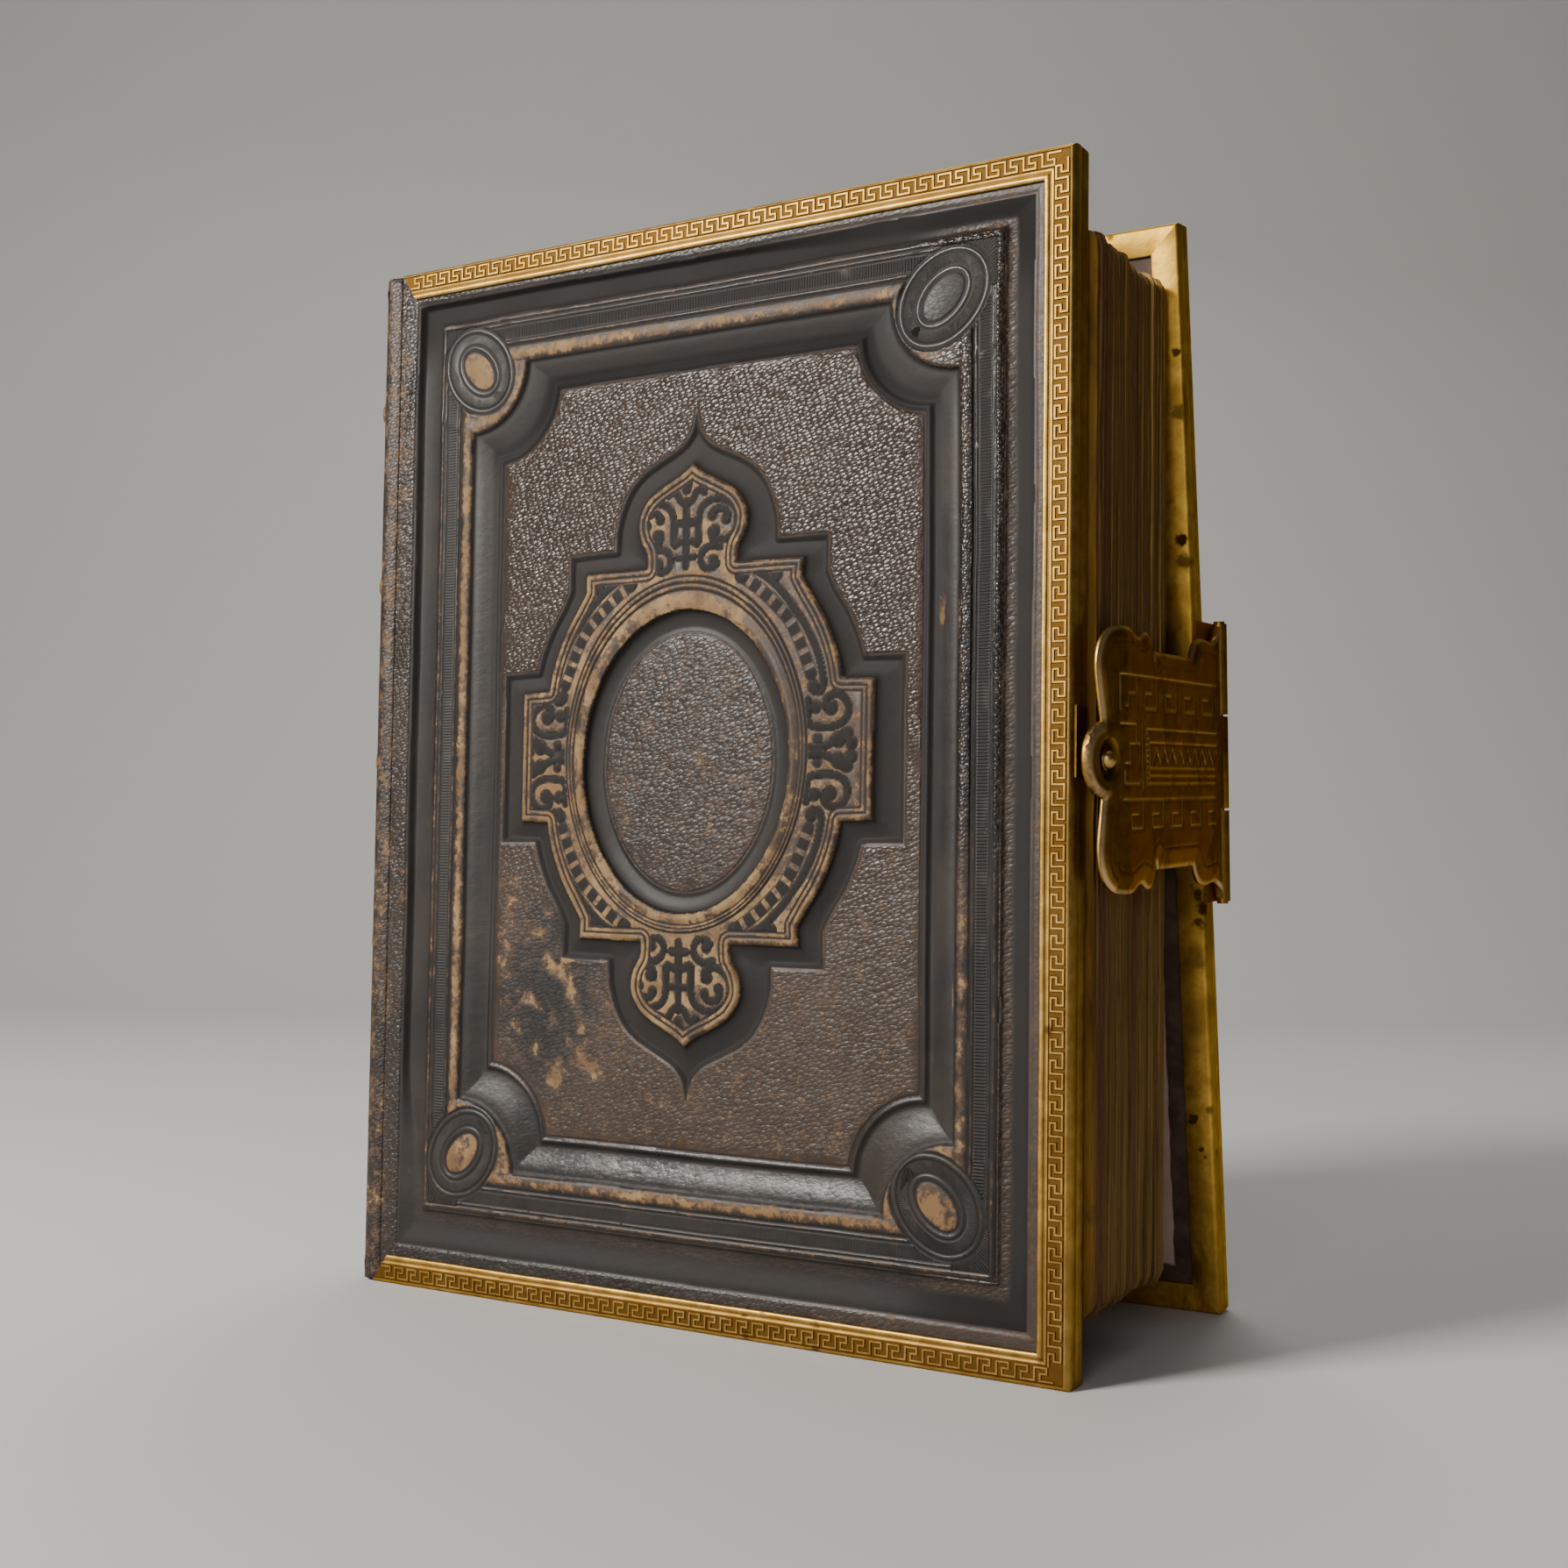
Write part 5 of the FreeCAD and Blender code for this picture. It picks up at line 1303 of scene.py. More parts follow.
def rim(name, edge, side, seed):
    """t runs along the edge; local (t, d, y): d in from the edge, y depth"""
    L = H if edge == "fore_edge" else W
    fore = edge == "fore_edge"
    nseg = 72 if fore else 54
    if fore:
        s0 = lambda d: d
        s1 = lambda d: L - d
    elif edge == "head":
        # t runs from the fore-edge to the spine
        s0 = lambda d: d
        s1 = lambda d: L - 2.3 - 0.674 * d
    else:
        s0 = lambda d: d
        s1 = lambda d: L - 1.0 - 0.698 * d
    sec = np.array(SEC)
    n = len(sec)
    tt = np.linspace(0, 1, nseg + 1)
    D = np.repeat(sec[None, :, 0], nseg + 1, 0)
    Y = np.repeat(sec[None, :, 1], nseg + 1, 0)
    A = s0(sec[:, 0])[None, :]
    B = s1(sec[:, 0])[None, :]
    TT = A + (B - A) * tt[:, None]
    # the strip is a little uneven
    dent = 0.05 * (fbm(TT / 9.0, D * 0 + seed, seed, 3) - 0.5) * 2
    Y = Y + dent * (Y < 1.0) * 0.6
    D = D + 0.05 * (fbm(TT / 14.0, D * 0 + seed + 5, seed + 3, 2) - 0.5) * 2 * (D > 3.0) * (Y < 1)
    v = np.stack([TT, D, Y], -1).reshape(-1, 3)
    f = grid_faces(nseg + 1, n, 0, True)
    cap0 = list(range(n))
    rec = np.repeat(sec[None, :, 2], nseg + 1, 0).ravel()
    parts = [(v, f)]
    recs = [rec]
    # the key pattern
    start = 1.9
    stop = {"fore_edge": L - 2.8, "head": L - 4.3, "tail": L - 3.1}[edge]
    units = int(round((stop - start) / 2.56))
    pitch = (stop - start) / units
    path = []
    for i in range(units):
        for t_, s_ in KEY[:-1]:
            path.append((start + (i + t_) * pitch, K1 + (K0 - K1) * s_))
    path.append((stop, K1))
    # uneven striking of the stamp
    P_ = np.array(path)
    keep = [0]
    for i in range(1, len(P_)):
        if np.linalg.norm(P_[i] - P_[keep[-1]]) > 1e-6:
            keep.append(i)
    P_ = P_[keep]
    rv, rf, _ = ribbon(P_, KW / 2 * 1.30, 0.18, 0.02, seed)
    rv[:, 2] += 0.05 * (noise(rv[:, 0] / 6.0, rv[:, 0] * 0 + seed, seed + 9) - 0.5)
    parts.append((rv, rf))
    rr = np.where(rv[:, 2] > 0.10, 0.95, 0.16) + 0.22 * noise(rv[:, 0] / 3.0, rv[:, 1], seed)
    recs.append(rr)
    V_, F_ = concat(parts)
    rec = np.concatenate(recs)
    # to the board's own frame (x, depth from its outer face, z)
    t_, d_, y_ = V_[:, 0], V_[:, 1], V_[:, 2]
    if edge == "tail":
        x_, z_ = L - t_, d_
    elif edge == "head":
        x_, z_ = L - t_, H - d_
    else:
        x_, z_ = W - d_, H - t_
    B_ = np.column_stack([x_, y_, z_])
    if side == "rear":
        B_[:, 1] = T - B_[:, 1]
        V3 = rear(B_)
    else:
        V3 = B_
    o = mesh_obj(name, P(V3), F_, smooth=True)
    # close the two ends
    bm = bmesh.new()
    bm.from_mesh(o.data)
    bm.verts.ensure_lookup_table()
    for base in (0, nseg * n):
        try:
            bm.faces.new([bm.verts[base + i] for i in range(n)])
        except ValueError:
            pass
    bmesh.ops.recalc_face_normals(bm, faces=bm.faces)
    bm.to_mesh(o.data)
    bm.free()
    put_attr(o, "a_rec", np.clip(rec, 0, 1))
    sharp_by_angle(o, 38)
    dress(o, M_RIM if side == "front" else M_RIM_REAR)
    return o


for side, body in (("front", "front_cover"), ("rear", "rear_cover")):
    for q, edge in enumerate(("tail", "head", "fore_edge")):
        o = rim("%s_rim_%s_stamped" % (side, edge), edge, side, 11 + 7 * q + (40 if side == "rear" else 0))
        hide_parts("%s_rim_%s" % (side, edge))
        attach(o, body)

# ------------------------------------------------------------ CAD nodes that stay
_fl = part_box("front_lining")
_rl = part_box("rear_lining")
dress_cad("front_lining", lining_material("front_lining_paper", _fl[0].x, _fl[1].x, False))
dress_cad("rear_lining", lining_material("rear_lining_paper", _rl[0].x, _rl[1].x, True))
for n_ in ("front_board", "rear_board"):
    dress_cad(n_, M_BOARD)
dress_cad("catch_plate", M_CATCH)
for n_ in ("clasp_hinge_leaf", "clasp_leaf_pins", "clasp_hinge_pin"):
    dress_cad(n_, M_CLASP_CAD)
dress_cad("spine_lining", M_BOARD)

# ------------------------------------------------------------ clasp
HALF = [(1.5, 19.4), (2.3, 17.9), (4.2, 17.0), (7.9, 17.3), (10.7, 16.9),
        (12.4, 15.7), (13.3, 14.3), (27.9, 14.3), (28.3, 13.3), (29.0, 15.3),
        (30.4, 16.6), (32.0, 16.6), (33.7, 15.9), (35.3, 16.2), (37.3, 16.9),
        (41.1, 16.8), (43.1, 15.9), (44.4, 14.2), (44.9, 11.8), (44.6, 9.0),
        (44.2, 6.6), (43.9, 4.8)]
KNU = 43.3                                   # knob from the pivot
BEND = 39.3                                  # shoulder where the strap bends in


def strap_outline():
    edge = []
    cut_ = [0, 6, 7, 8, len(HALF) - 1]       # sharp corners stay sharp
    for a, b in zip(cut_[:-1], cut_[1:]):
        seg = HALF[a:b + 1]
        edge += (spline(seg, 5) if len(seg) > 2 else seg)[:-1]
    edge.append(HALF[-1])
    tab = [(43.7 + 4.0 * math.sin(math.radians(k)), 4.8 * math.cos(math.radians(k)))
           for k in range(10, 180, 10)]
    return edge + tab + [(u, -z) for u, z in reversed(edge)]


def key_hook(u0, z0, w, h, flip=1):
    """top line, right leg, bottom line, short inner hook; u grows to the left"""
    return [[(u0 + w * 1.55, z0), (u0 - w * 0.35, z0)],
            [(u0, z0), (u0, z0 - h), (u0 + w, z0 - h), (u0 + w, z0 - h * 0.52),
             (u0 + w * 0.42, z0 - h * 0.52)]]


def strap_lines():
    out = []
    for i in range(5):
        out += key_hook(31.0 - 7.75 * i if i < 4 else 0.4, 10.7, 4.3, 4.1)
    out += [[(43.2, 10.7), (36.4, 10.7)], [(38.3, 10.7), (38.3, 6.9)],
            [(41.2, 8.4), (38.9, 8.4)], [(41.2, 8.4), (41.2, 6.8), (42.0, 6.8)],
            [(43.2, 10.7), (43.2, 6.2)]]
    for i in range(5):
        out += key_hook(36.6 - 7.65 * i, -5.1, 4.0, 3.7)
    out += [[(43.2, 4.5), (38.6, 4.5), (38.6, 2.0)], [(41.0, 2.0), (37.4, 2.0), (37.4, -0.4)],
            [(42.2, -0.5), (40.6, -0.5)], [(42.4, -3.1), (37.7, -3.1)],
            [(36.5, 4.5), (36.5, -4.0)], [(41.0, 2.0), (41.0, -0.5)], [(42.4, -3.1), (42.4, -1.6)]]
    # middle panel
    out += [[(35.0, 3.95), (2.2, 3.95)], [(33.8, 2.3), (2.2, 2.3)], [(33.8, -1.1), (2.2, -1.1)],
            [(33.8, -2.1), (2.2, -2.1)], [(35.0, -3.1), (2.2, -3.1)], [(33.8, 2.3), (33.8, -3.1)],
            [(35.0, 3.95), (35.0, -3.1)]]
    zz, k = [], 0
    u = 32.8
    while u > 2.6:
        zz.append((u, 1.6 if k % 2 else -0.6))
        u -= 1.55
        k += 1
    out.append(zz)
    for q in range(9):
        out.append([(34.8, 3.4 - 0.72 * q), (34.0, 3.4 - 0.72 * q)])
    # measured from an axis 2.3 mm further back; lines stop at the barrel
    return [[(max(a - 2.3, 1.7), b) for a, b in l] for l in out]


def strap_height(u, z, edge_d):
    """outer face of the strap above its flat plane, how dirty it is, and where highlight is painted on its lines and
    edges
    """
    e = -edge_d
    w = np.where(z > 0, 1.75, 2.6)
    w = np.where(u > 41.7, 1.3, w)
    back = ss(1.5, 3.2, u)                       # no bevel towards the barrel
    r = np.hypot(u - KNU, z)
    h = -0.52 * (1 - np.clip(e / w, 0, 1)) ** 1.25 * back
    h = h - 0.10 * hump(e, 0.0, 0.35)
    rec = np.zeros(u.shape)
    ln = hump(e, w + 0.18, 0.22) * back * (r > 5.4)
    h = h - 0.10 * ln
    rec = np.maximum(rec, 0.5 * ln)
    st = near_strokes(u, z, STRAP_LINES, 0.7)
    cut_ = hump(st, 0.0, 0.30) * (e > w + 0.1)
    h = h - 0.14 * cut_
    rec = np.maximum(rec, 0.35 * hump(st, 0.34, 0.2) * (e > w + 0.1))
    tabr = np.hypot((u - 43.7) / 4.0, z / 4.8)
    ring = 0.26 * hump(tabr, 0.86, 0.16) * ss(42.6, 44.4, u)
    h = np.where((u > 42.5) & (tabr < 1), np.maximum(h, -0.25) + ring, h)
    well = np.hypot((u - KNU) / 2.0, z / 2.7)
    h = h - 0.62 * ss(1.05, 0.86, well)
    rec = np.maximum(rec, 0.95 * ss(1.06, 0.9, well))
    rec = np.maximum(rec, 0.5 * hump(tabr, 0.97, 0.08) * (u > 43.5))
    rec = np.maximum(rec, 0.4 * (fbm(u / 5.0, z / 5.0, 3, 3) > 0.62))
    h = h + 0.10 * (fbm(u / 8.0, z / 8.0, 12, 2) - 0.5)
    # painted highlight along the engraved lines, the bevelled edge and the tab's ring; none in the knob's well
    lit = np.maximum(0.75 * hump(st, 0.0, 0.24) * (e > w + 0.1), 0.85 * hump(e, 0.25, 0.45))
    lit = np.maximum(lit, 0.8 * hump(tabr, 0.86, 0.14) * ss(43.0, 44.6, u)) * (1 - ss(1.1, 0.95, well))
    return h, rec, lit


def strap_plane(u):
    return 0.7 - 2.45 * np.clip(u - BEND, 0, None) / 9.6


STRAP_LINES = strap_lines()
OUTL = strap_outline()


def build_strap():
    step = 0.25
    # border points, evenly spaced
    pts = []
    n = len(OUTL)
    for i in range(n):
        a, b = np.array(OUTL[i]), np.array(OUTL[(i + 1) % n])
        k = max(1, int(np.linalg.norm(b - a) / (step * 1.2)))
        for q in range(k):
            pts.append(a + (b - a) * q / k)
    nb = len(pts)
    gu, gz = np.meshgrid(np.arange(1.2, 48.6, step), np.arange(-20, 20.01, step))
    gu = gu + (np.arange(gu.shape[0])[:, None] % 2) * step / 2
    gu, gz = gu.ravel(), gz.ravel()
    sd = sd_poly(gu, gz, OUTL)
    keep = sd < -step * 0.55
    gu, gz = gu[keep], gz[keep]
    allp = [Vector((float(p[0]), float(p[1]))) for p in pts] + \
           [Vector((float(a), float(b))) for a, b in zip(gu, gz)]
    res = geometry.delaunay_2d_cdt(allp, [], [list(range(nb))], 1, 1e-5)
    P2 = np.array([(p.x, p.y) for p in res[0]])
    tris = np.array([f for f in res[2] if len(f) == 3], int)
    orig = {}
    for k, o_ in enumerate(res[3]):
        for q in o_:
            orig[q] = k
    ring = [orig[i] for i in range(nb)]
    u, z = P2[:, 0], P2[:, 1]
    sd = sd_poly(u, z, OUTL)
    sd[ring] = 0.0
    h, rec, lit = strap_height(u, z, sd)
    x = strap_plane(u) + h
    front_ = np.column_stack([x, -u, z])
    nf = len(front_)
    bi = {r_: k for k, r_ in enumerate(ring)}
    rb = np.array(ring)
    mid = front_[rb].copy()
    back_x = strap_plane(u[rb]) - 1.0
    mid[:, 0] = back_x + 0.12
    bk = front_[rb].copy()
    bk[:, 0] = back_x
    # step in a little at the back edge
    cen = np.array([0, -24.0, 0])
    bk[:, 1:] += (cen[1:] - bk[:, 1:]) / np.linalg.norm(bk[:, 1:] - cen[1:], axis=1)[:, None] * 0.1
    # flat back: a coarse sheet of its own points
    V_ = [front_, mid, bk]
    F_ = [tuple(t) for t in tris]
    o1, o2 = nf, nf + nb
    for i in range(nb):
        j = (i + 1) % nb
        F_.append((ring[i], o1 + i, o1 + j, ring[j]))
        F_.append((o1 + i, o2 + i, o2 + j, o1 + j))
    inner = []
    for uu in np.arange(2.6, 48.0, 2.4):
        for zz in np.arange(-18, 18.1, 2.4):
            if sd_poly(np.array([uu]), np.array([zz]), OUTL)[0] < -1.0:
                inner.append((uu, zz))
    for zz in np.arange(-18, 18.1, 1.2):
        if sd_poly(np.array([BEND]), np.array([zz]), OUTL)[0] < -0.8:
            inner.append((BEND, zz))
    bp = [Vector((-p[1], p[2])) for p in bk] + [Vector(p) for p in inner]
    r2_ = geometry.delaunay_2d_cdt(bp, [], [list(range(nb))], 1, 1e-5)
    off = nf + 2 * nb
    mp, extra = {}, []
    for k, o_ in enumerate(r2_[3]):
        q = [w for w in o_ if w < nb]
        if q:
            mp[k] = o2 + q[0]
        else:
            mp[k] = off + len(extra)
            pu, pz = r2_[0][k]
            extra.append((strap_plane(pu) - 1.0, -pu, pz))
    V_.append(np.array(extra))
    for f in r2_[2]:
        F_.append(tuple(mp[v] for v in reversed(f)))
    V_ = np.concatenate(V_)
    recs = np.zeros(len(V_))
    recs[:nf] = rec
    # middle knuckle and its web
    parts_v, parts_f, base = [V_], list(F_), len(V_)
    na, rr = 36, [(1.1, -6.45), (1.1, 6.45), (1.0, 6.6), (0.51, 6.6), (0.51, -6.6), (1.0, -6.6)]
    kv = []
    for r_, z_ in rr:
        for i in range(na):
            a = 2 * math.pi * i / na
            kv.append((r_ * math.cos(a), r_ * math.sin(a), z_))
    for q in range(6):
        for i in range(na):
            j = (i + 1) % na
            n2_ = (q + 1) % 6
            parts_f.append((base + q * na + i, base + q * na + j, base + n2_ * na + j, base + n2_ * na + i))
    parts_v.append(np.array(kv))
    base += len(kv)
    wb = []
    for z_ in (-6.55, 6.55):
        for (x_, y_) in ((-0.3, -0.7), (-0.3, -2.5), (0.55, -2.5), (0.68, -2.2), (0.68, -0.8)):
            wb.append((x_, y_, z_))
    m = 5
    for i in range(m):
        j = (i + 1) % m
        parts_f.append((base + i, base + j, base + m + j, base + m + i))
    parts_f.append(tuple(base + i for i in reversed(range(m))))
    parts_f.append(tuple(base + m + i for i in range(m)))
    parts_v.append(np.array(wb))
    allv = np.concatenate(parts_v)
    o = mesh_obj("clasp_strap_engraved", P(clasp(allv)), [tuple(int(v) for v in f) for f in parts_f])
    recalc(o)
    r_all = np.zeros(len(allv))
    r_all[:nf] = recs[:nf]
    put_attr(o, "a_rec", np.clip(r_all, 0, 1))
    l_all = np.zeros(len(allv))
    l_all[:nf] = lit
    put_attr(o, "a_lit", np.clip(l_all, 0, 1))
    sharp_by_angle(o, 40)
    dress(o, M_CLASP)
    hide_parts("clasp_strap")
    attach(o, "clasp")
    return o


build_strap()


def lathe(name, prof_, centre, seg=40):
    """closed turned solid; prof_ runs (radius, x) from the front pole to the back pole"""
    v, f = [], []
    n = len(prof_)
    rings = []
    for r_, x_ in prof_:
        if r_ < 1e-6:
            rings.append([len(v)])
            v.append((x_, centre[0], centre[1]))
        else:
            rings.append(list(range(len(v), len(v) + seg)))
            for i in range(seg):
                a = 2 * math.pi * i / seg
                v.append((x_, centre[0] + r_ * math.cos(a), centre[1] + r_ * math.sin(a)))
    for a, b in zip(rings[:-1], rings[1:]):
        for i in range(seg):
            j = (i + 1) % seg
            if len(a) == 1:
                f.append((a[0], b[i], b[j]))
            elif len(b) == 1:
                f.append((a[i], b[0], a[j]))
            else:
                f.append((a[i], b[i], b[j], a[j]))
    return v, f


tab_out = float(strap_plane(np.array([KNU]))[0])
dome = tab_out - 0.62
kp = [(0.0, dome + 1.42)]
for k_ in range(1, 17):
    a_ = math.radians(5.5 * k_)
    kp.append((1.22 * math.sin(a_), dome + 0.22 + 1.20 * math.cos(a_)))
kp += [(1.22, dome + 0.16), (1.33, dome + 0.13), (1.35, dome + 0.06), (1.33, dome + 0.0),
       (0.68, dome + 0.0), (0.68, tab_out - 1.0 - 0.15), (0.0, tab_out - 1.0 - 0.15)]
kv, kf = lathe("knob", kp, (-KNU, 0.0))
knob = mesh_obj("clasp_knob_domed", P(clasp(kv)), kf)
recalc(knob)
kr = coords(knob)
put_attr(knob, "a_rec", np.zeros(len(kr)))
sharp_by_angle(knob, 45)
dress(knob, brass_material("knob_brass", (0.45, 0.27, 0.075), (0.62, 0.42, 0.15), 0.15))
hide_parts("clasp_knob")
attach(knob, "clasp")

# ------------------------------------------------------------ leaves
_pl, _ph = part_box("page_block")
PX0, PX1 = _pl.x * 1000 + OX, _ph.x * 1000 + OX
PY0, PY1 = _pl.y * 1000 + OY, _ph.y * 1000 + OY
PZ0, PZ1 = _pl.z * 1000, _ph.z * 1000
NLEAF = 23


def build_leaves():
    pitch = (PY1 - PY0) / NLEAF
    parts, edge_a, torn_a, leaf_a = [], [], [], []
    xs = np.concatenate([np.linspace(0, 0.9, 7), [0.96, 0.985, 0.996, 1.0]])
    zs = np.concatenate([[0.0, 0.003, 0.012], np.linspace(0.03, 0.97, 44), [0.988, 0.997, 1.0]])
    for k in range(NLEAF):
        y0 = PY0 + pitch * k + 0.02
        th = pitch - 0.04
        # a few leaves are thinner, and stand a little apart
        th *= 0.90 + 0.10 * _hash(np.array(k), np.array(3), 5)
        sx, sz = np.meshgrid(xs, zs)
        r1 = float(_hash(np.array(k), np.array(1), 9))
        r2_ = float(_hash(np.array(k), np.array(2), 9))
        r3 = float(_hash(np.array(k), np.array(5), 9))
        fore = PX1 - 0.10 - 0.55 * r1 * (0.3 + 0.7 * r3)
        z_a = PZ0 + 0.1 + 0.7 * r2_
        z_b = PZ1 - 0.1 - 0.9 * r3
        Z = z_a + (z_b - z_a) * sz
        fo = fore - 0.35 * noise(Z / 17.0, Z * 0 + k * 7.3, 31) - 0.10 * noise(Z / 2.2, Z * 0 + k, 37)
        # corners of the leaves are worn round
        cr = 1.2 + 1.7 * r1
        over = np.clip(np.maximum(z_a + cr - Z, Z - (z_b - cr)), 0, cr)
        fo = fo - (cr - np.sqrt(np.maximum(cr * cr - over * over, 0))) * 0.8
        X = PX0 + (fo - PX0) * sx
        tear = np.zeros(Z.shape)
        if k in (11, 15, 17, 19, 20):
            dip = (1.2 + 1.6 * r2_) * hump(X, 112.0 - 5 * r1, 3.6 + 3 * r3)
            Z = Z - dip * ss(0.965, 1.0, sz)
            tear = ss(0.97, 0.99, sz) * ss(0.1, 0.6, dip)
        wav = 0.10 * (noise(X / 40.0, Z / 30.0 + k * 0.15, 41) - 0.5)
        e_in = np.minimum.reduce([(X.max() - X) / 1.0 + 0.0, (Z - Z.min()), (Z.max() - Z)])
        near = np.minimum(np.minimum(Z - z_a, z_b - Z) + 0.0 * X, (1 - sx) * (fo - PX0))
        rnd = 0.07 * ss(0.45, 0.0, near)
        A_ = np.stack([X, y0 + rnd + wav, Z], -1).reshape(-1, 3)
        B_ = np.stack([X, y0 + th - rnd + wav, Z], -1).reshape(-1, 3)
        nr, nc = X.shape
        n = nr * nc
        fA = grid_faces(nr, nc)
        fB = grid_faces(nr, nc, n)[:, ::-1]
        idx = np.arange(n).reshape(nr, nc)
        loop = np.concatenate([idx[0, :], idx[1:, -1], idx[-1, -2::-1], idx[-2:0:-1, 0]])
        m = len(loop)
        i = np.arange(m)
        # edge faces have their own vertices, so that the gilt stops at the face
        EA, EB = A_[loop], B_[loop]
        base = 2 * n
        j = (i + 1) % m
        fE = np.stack([base + j, base + i, base + m + i, base + m + j], -1)
        parts.append((np.concatenate([A_, B_, EA, EB]), np.concatenate([fA, fB, fE])))
        tr = tear.ravel()
        gilt = (ss(1.1, 0.5, near) * 0.95).ravel()
        front_ = gilt
        if k == 0:                               # gilt border of the first page
            front_ = np.maximum(gilt, ss(5.0, 4.6, (fo - X).ravel()))
        edge_a.append(np.concatenate([front_, gilt, np.ones(2 * m)]))
        torn_a.append(np.concatenate([tr, tr, tr[loop], tr[loop]]))
        shade = [0.10, 0.75, 0.95, 0.55][k] if k < 4 else 0.45 * r1 + (0.45 if k in (9, 13) else 0.0)
        leaf_a.append(np.full(2 * n + 2 * m, shade))
    V_, F_ = concat(parts)
    o = mesh_obj("album_leaves", P(V_), F_)
    put_attr(o, "a_edge", np.concatenate(edge_a))
    put_attr(o, "a_torn", np.concatenate(torn_a))
    put_attr(o, "a_leaf", np.concatenate(leaf_a))
    # turn the normals outwards and mark the sharp edges of the leaves
    recalc(o)
    sharp_by_angle(o, 50)
    dress(o, M_EDGE)
    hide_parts("page_block")
    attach(o, "text_block")
    return o


build_leaves()

# ------------------------------------------------------------ spine
def rear_edge_y(z):
    return REAR_Y + T / math.cos(LEAN) - z * math.tan(LEAN)


BANDS = [24.0, 51.5, 79.0, 106.5, 134.0]


def circ3(p0, p1, p2):
    (ax, ay), (bx, by), (cx, cy) = p0, p1, p2
    d_ = 2 * (ax * (by - cy) + bx * (cy - ay) + cx * (ay - by))
    ux = ((ax * ax + ay * ay) * (by - cy) + (bx * bx + by * by) * (cy - ay) + (cx * cx + cy * cy) * (ay - by)) / d_
    uy = ((ax * ax + ay * ay) * (cx - bx) + (bx * bx + by * by) * (ax - cx) + (cx * cx + cy * cy) * (bx - ax)) / d_
    return ux, uy, math.hypot(ax - ux, ay - uy)


def build_spine():
    g_, bul, thk, turn = 0.35, 6.2, 1.2, 1.6
    nz = 260
    na = 72
    zs = np.linspace(0.0, H, nz)
    zs[0], zs[-1] = 0.0, H
    outer = np.zeros((nz, na, 3))
    inner = np.zeros((nz, na, 3))
    att = {k_: np.zeros((nz, na)) for k_ in ("a_wear", "a_dark", "a_peb", "a_gloss", "a_hu", "a_hm", "a_light")}
    t = np.linspace(0, 1, na)
    for i, z in enumerate(zs):
        y0, y1 = g_, rear_edge_y(z) - g_
        x0, x1 = -g_, REAR_X - g_
        ym = 0.5 * (y0 + y1)
        for dst, (a_, m_, b_) in ((outer, ((x0, y0), (-bul, ym), (x1, y1))),
                                  (inner, ((x0, y0 + turn), (-bul + thk, ym), (x1, y1 - turn)))):
            ux, uy, r_ = circ3(a_, m_, b_)
            aa, ab = math.atan2(a_[1] - uy, a_[0] - ux), math.atan2(b_[1] - uy, b_[0] - ux)
            aa %= 2 * math.pi
            ab %= 2 * math.pi
            ang = aa + (ab - aa) * t
            h = np.zeros(na)
            if dst is outer:
                wv = 0.5 * (noise(t * 9.0, np.full(na, z / 13.0), 91) - 0.5)
                for b0 in BANDS:
                    zz = z + wv * 0.6 - b0
                    h += 0.95 * math.exp(-(abs(zz[0]) / 1.55) ** 4) * np.clip(np.minimum(t, 1 - t) / 0.06, 0, 1) ** 0.5
                    for off in (-3.1, 3.1):
                        h -= 0.16 * np.exp(-((zz - off) / 0.22) ** 2) * (np.minimum(t, 1 - t) > 0.05)
                        att["a_dark"][i] += 0.9 * np.exp(-((zz - off) / 0.26) ** 2) * (np.minimum(t, 1 - t) > 0.05)
                    att["a_wear"][i] = np.maximum(att["a_wear"][i], 0.85 * math.exp(-(abs(zz[0]) / 1.5) ** 4))
                h += 0.22 * (fbm(t * 14.0, np.full(na, z / 9.0), 93, 2) - 0.5)
                ed = min(z, H - z)
                h -= 0.55 * (1 - ss(0.0, 1.6, ed))
                h += 0.35 * math.exp(-((ed - 2.6) / 1.5) ** 2)
                att["a_wear"][i] = np.maximum(att["a_wear"][i], 0.95 * (1 - ss(1.0, 4.5, ed)))
                att["a_wear"][i] = np.maximum(att["a_wear"][i], 0.75 * np.clip(1 - np.minimum(t, 1 - t) / 0.05, 0, 1))
                att["a_wear"][i] = np.maximum(att["a_wear"][i], 0.45 * ss(0.5, 0.8, fbm(t * 6.0, np.full(na, z / 14.0), 95, 3)))
                att["a_peb"][i] = 0.8
            dst[i, :, 0] = ux + (r_ + h) * np.cos(ang)
            dst[i, :, 1] = uy + (r_ + h) * np.sin(ang)
            dst[i, :, 2] = z
    no = nz * na
    V_ = np.concatenate([outer.reshape(-1, 3), inner.reshape(-1, 3)])
    f = [grid_faces(nz, na)[:, ::-1], grid_faces(nz, na, no)]
    idx = np.arange(no).reshape(nz, na)
    loop = np.concatenate([idx[0, :], idx[1:, -1], idx[-1, -2::-1], idx[-2:0:-1, 0]])
    m = len(loop)
    i = np.arange(m)
    j = (i + 1) % m
    f.append(np.stack([loop[i], loop[j], loop[j] + no, loop[i] + no], -1))
    o = mesh_obj("spine_leather_banded", P(V_), np.concatenate(f))
    recalc(o)
    for k_, v_ in att.items():
        a0 = np.zeros((nz, na))
        if k_ == "a_peb":
            a0 += 0.3
        if k_ == "a_wear":
            a0 += 0.3
        put_attr(o, k_, np.clip(np.concatenate([v_.ravel(), a0.ravel()]), 0, 1))
    sharp_by_angle(o, 55)
    dress(o, M_LEATHER)
    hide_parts("spine_leather")
    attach(o, "text_block")


build_spine()


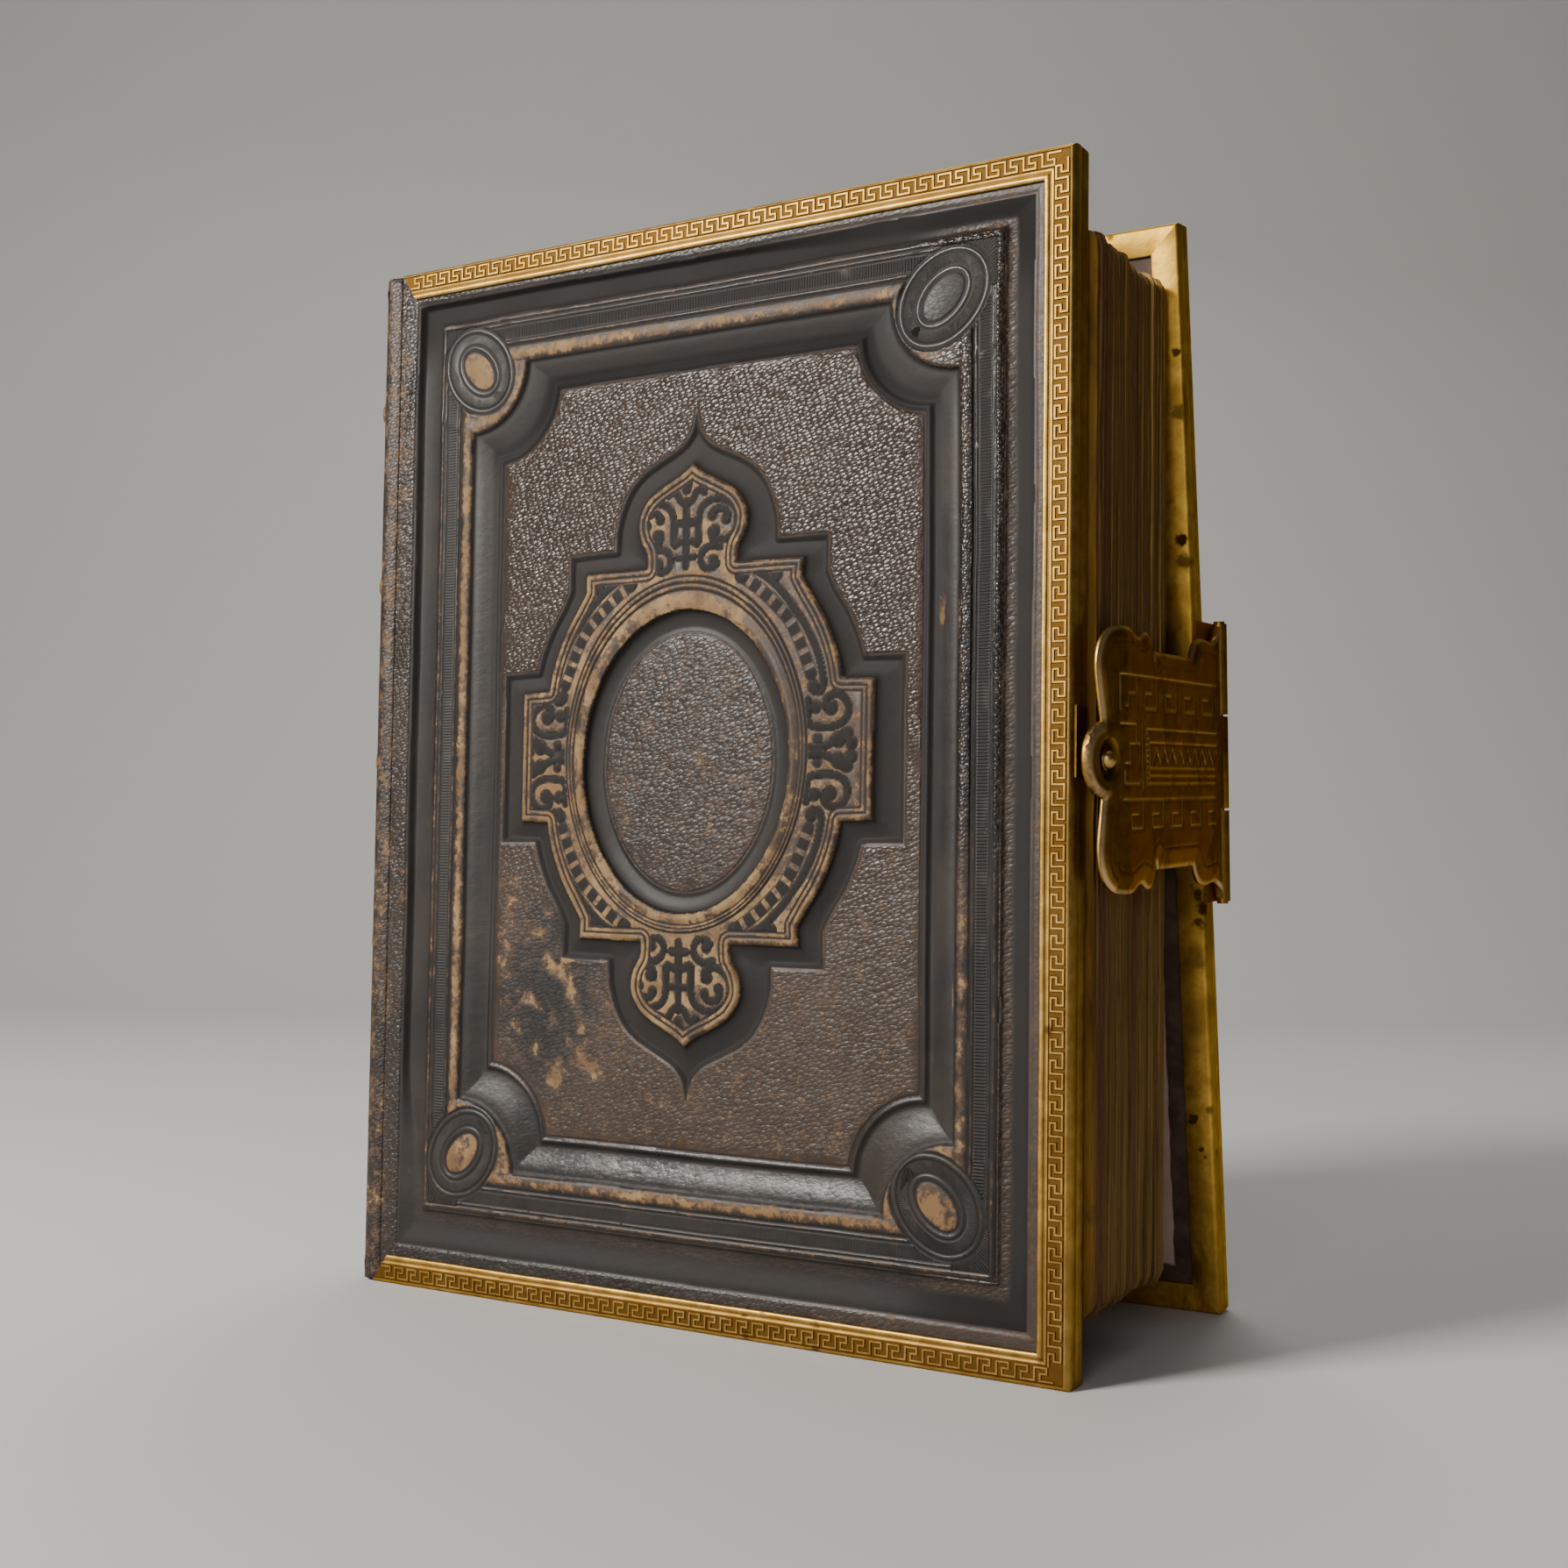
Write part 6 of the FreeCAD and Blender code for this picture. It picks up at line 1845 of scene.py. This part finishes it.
def joint_strip(name, to_album, start, end, z0, z1):
    """the leather that bends between spine and board"""
    mid = np.array(spline([(-1.45, 1.75), (-0.95, 1.0), (-0.35, 0.52), (0.35, 0.36), (1.2, 0.40), (2.3, 0.56)], 4))
    tan_ = np.gradient(mid, axis=0)
    nrm = np.column_stack([-tan_[:, 1], tan_[:, 0]])
    nrm /= np.linalg.norm(nrm, axis=1)[:, None]
    half = 0.22 * np.sqrt(np.clip(np.minimum(np.linspace(0, 1, len(mid)), np.linspace(1, 0, len(mid))) / 0.12, 0.15, 1))
    sec = np.concatenate([mid - nrm * half[:, None], (mid + nrm * half[:, None])[::-1]])
    zs = np.linspace(z0, z1, 150)
    ns = len(sec)
    S, Z = np.meshgrid(np.arange(ns), zs)
    X = sec[S, 0]
    Y = sec[S, 1] + 0.05 * (noise(Z / 6.0, X, 55) - 0.5)
    V_ = np.stack([X, Y, Z], -1).reshape(-1, 3)
    f = grid_faces(len(zs), ns, 0, True)
    half_n = len(mid)
    caps = []
    for b_ in (0, (len(zs) - 1) * ns):
        for i in range(half_n - 1):
            caps.append((b_ + i, b_ + i + 1, b_ + ns - 2 - i, b_ + ns - 1 - i))
    o = mesh_obj(name, P(to_album(V_)), np.concatenate([f, np.array(caps)]))
    recalc(o)
    n_ = len(V_)
    w = 0.16 + 0.46 * fbm(V_[:, 2] / 5.0, V_[:, 0] * 0.8, 57, 3)
    put_attr(o, "a_wear", w)
    put_attr(o, "a_peb", np.full(n_, 0.5))
    for k_ in ("a_dark", "a_gloss", "a_hu", "a_hm", "a_light"):
        put_attr(o, k_, np.zeros(n_))
    dress(o, M_LEATHER)
    s_, e_ = P(to_album(np.array([start, end])))
    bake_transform(o)
    return o


joint_strip("front_joint_leather", lambda v: v,
            (-0.9, 0.5, 77.5), (1.1, 0.5, 77.5), 0.4, H - 0.4)


def rear_flip(v):
    w = np.array(v, float)
    w[:, 1] = T - w[:, 1]
    return rear(w)


joint_strip("rear_joint_leather", rear_flip,
            (-0.9, 0.5, 77.5), (1.1, 0.5, 77.5), 1.6, H - 1.2)

# ------------------------------------------------------------ stage
def stage_material(name, c):
    k = Nodes(name)
    k.set("Base Color", (*c, 1.0))
    k.set("Roughness", 0.9)
    return k.m


# floor sweeping up into a backdrop
prof = [(-1.4, 0.0), (0.0, 0.0), (0.55, 0.0)]
for i in range(1, 13):
    a = math.radians(90 * i / 12)
    prof.append((0.55 + 0.35 * math.sin(a), 0.35 * (1 - math.cos(a))))
prof.append((0.9, 1.6))
sv, sf = [], []
az = math.radians(30.665)
fwd = np.array([-math.sin(az), math.cos(az)])
rgt = np.array([math.cos(az), math.sin(az)])
for i, (d_, z_) in enumerate(prof):
    for j, w_ in enumerate((-2.2, 2.2)):
        p_ = fwd * d_ + rgt * w_
        sv.append((p_[0], p_[1], z_ - 0.00002))
    if i:
        b_ = 2 * i
        sf.append((b_ - 2, b_ - 1, b_ + 1, b_))
floor = mesh_obj("studio_floor", sv, sf)
dress(floor, stage_material("pale_floor", (0.56, 0.55, 0.535)))

scene = bpy.context.scene
world = bpy.data.worlds.new("studio")
scene.world = world
world.use_nodes = True
world.node_tree.nodes["Background"].inputs[0].default_value = (0.85, 0.88, 0.93, 1.0)
world.node_tree.nodes["Background"].inputs[1].default_value = 0.055


def area(name, loc, target, size, power, color=(1, 1, 1)):
    l = bpy.data.lights.new(name, "AREA")
    l.shape = "RECTANGLE"
    l.size, l.size_y = size
    l.energy = power
    l.color = color
    o = bpy.data.objects.new(name, l)
    COL.objects.link(o)
    o.location = loc
    o.rotation_euler = (Vector(target) - Vector(loc)).to_track_quat("-Z", "Y").to_euler()
    return o


area("key", (-0.34, -0.63, 0.47), (0, 0, 0.085), (0.20, 0.20), 10.0, (1.0, 0.96, 0.905))
area("low", (-0.42, -0.84, 0.27), (0, 0, 0.06), (0.36, 0.30), 1.7, (1.0, 0.97, 0.93))
area("fill", (0.30, -1.0, 0.36), (0, 0, 0.07), (0.5, 0.5), 2.3, (1.0, 0.97, 0.93))
area("top", (0.0, 0.25, 1.1), (0, 0, 0.0), (0.8, 0.8), 1.0)
area("back", (-0.16, 0.46, 0.76), (0, 0.03, 0.07), (0.4, 0.4), 2.6, (1.0, 0.98, 0.95))

# ------------------------------------------------------------ camera
cam = bpy.data.cameras.new("photo_camera")
cam.lens = 43.23
cam.sensor_width = 36.0
cam.sensor_fit = "HORIZONTAL"
cam.clip_start, cam.clip_end = 0.01, 20.0
co = bpy.data.objects.new("photo_camera", cam)
COL.objects.link(co)
yaw, pitch, roll = math.radians(30.665), math.radians(2.824), math.radians(0.788)
fw = Vector((-math.sin(yaw) * math.cos(pitch), math.cos(yaw) * math.cos(pitch), math.sin(pitch)))
rt = Vector((math.cos(yaw), math.sin(yaw), 0))
up = rt.cross(fw)
r2 = math.cos(roll) * rt + math.sin(roll) * up
u2 = -math.sin(roll) * rt + math.cos(roll) * up
loc = Vector(P((201.8, -217.6, 62.2)))
co.matrix_world = Matrix(((r2.x, u2.x, -fw.x, loc.x), (r2.y, u2.y, -fw.y, loc.y),
                          (r2.z, u2.z, -fw.z, loc.z), (0, 0, 0, 1)))
scene.camera = co

# ------------------------------------------------------------ update
bpy.context.view_layer.update()
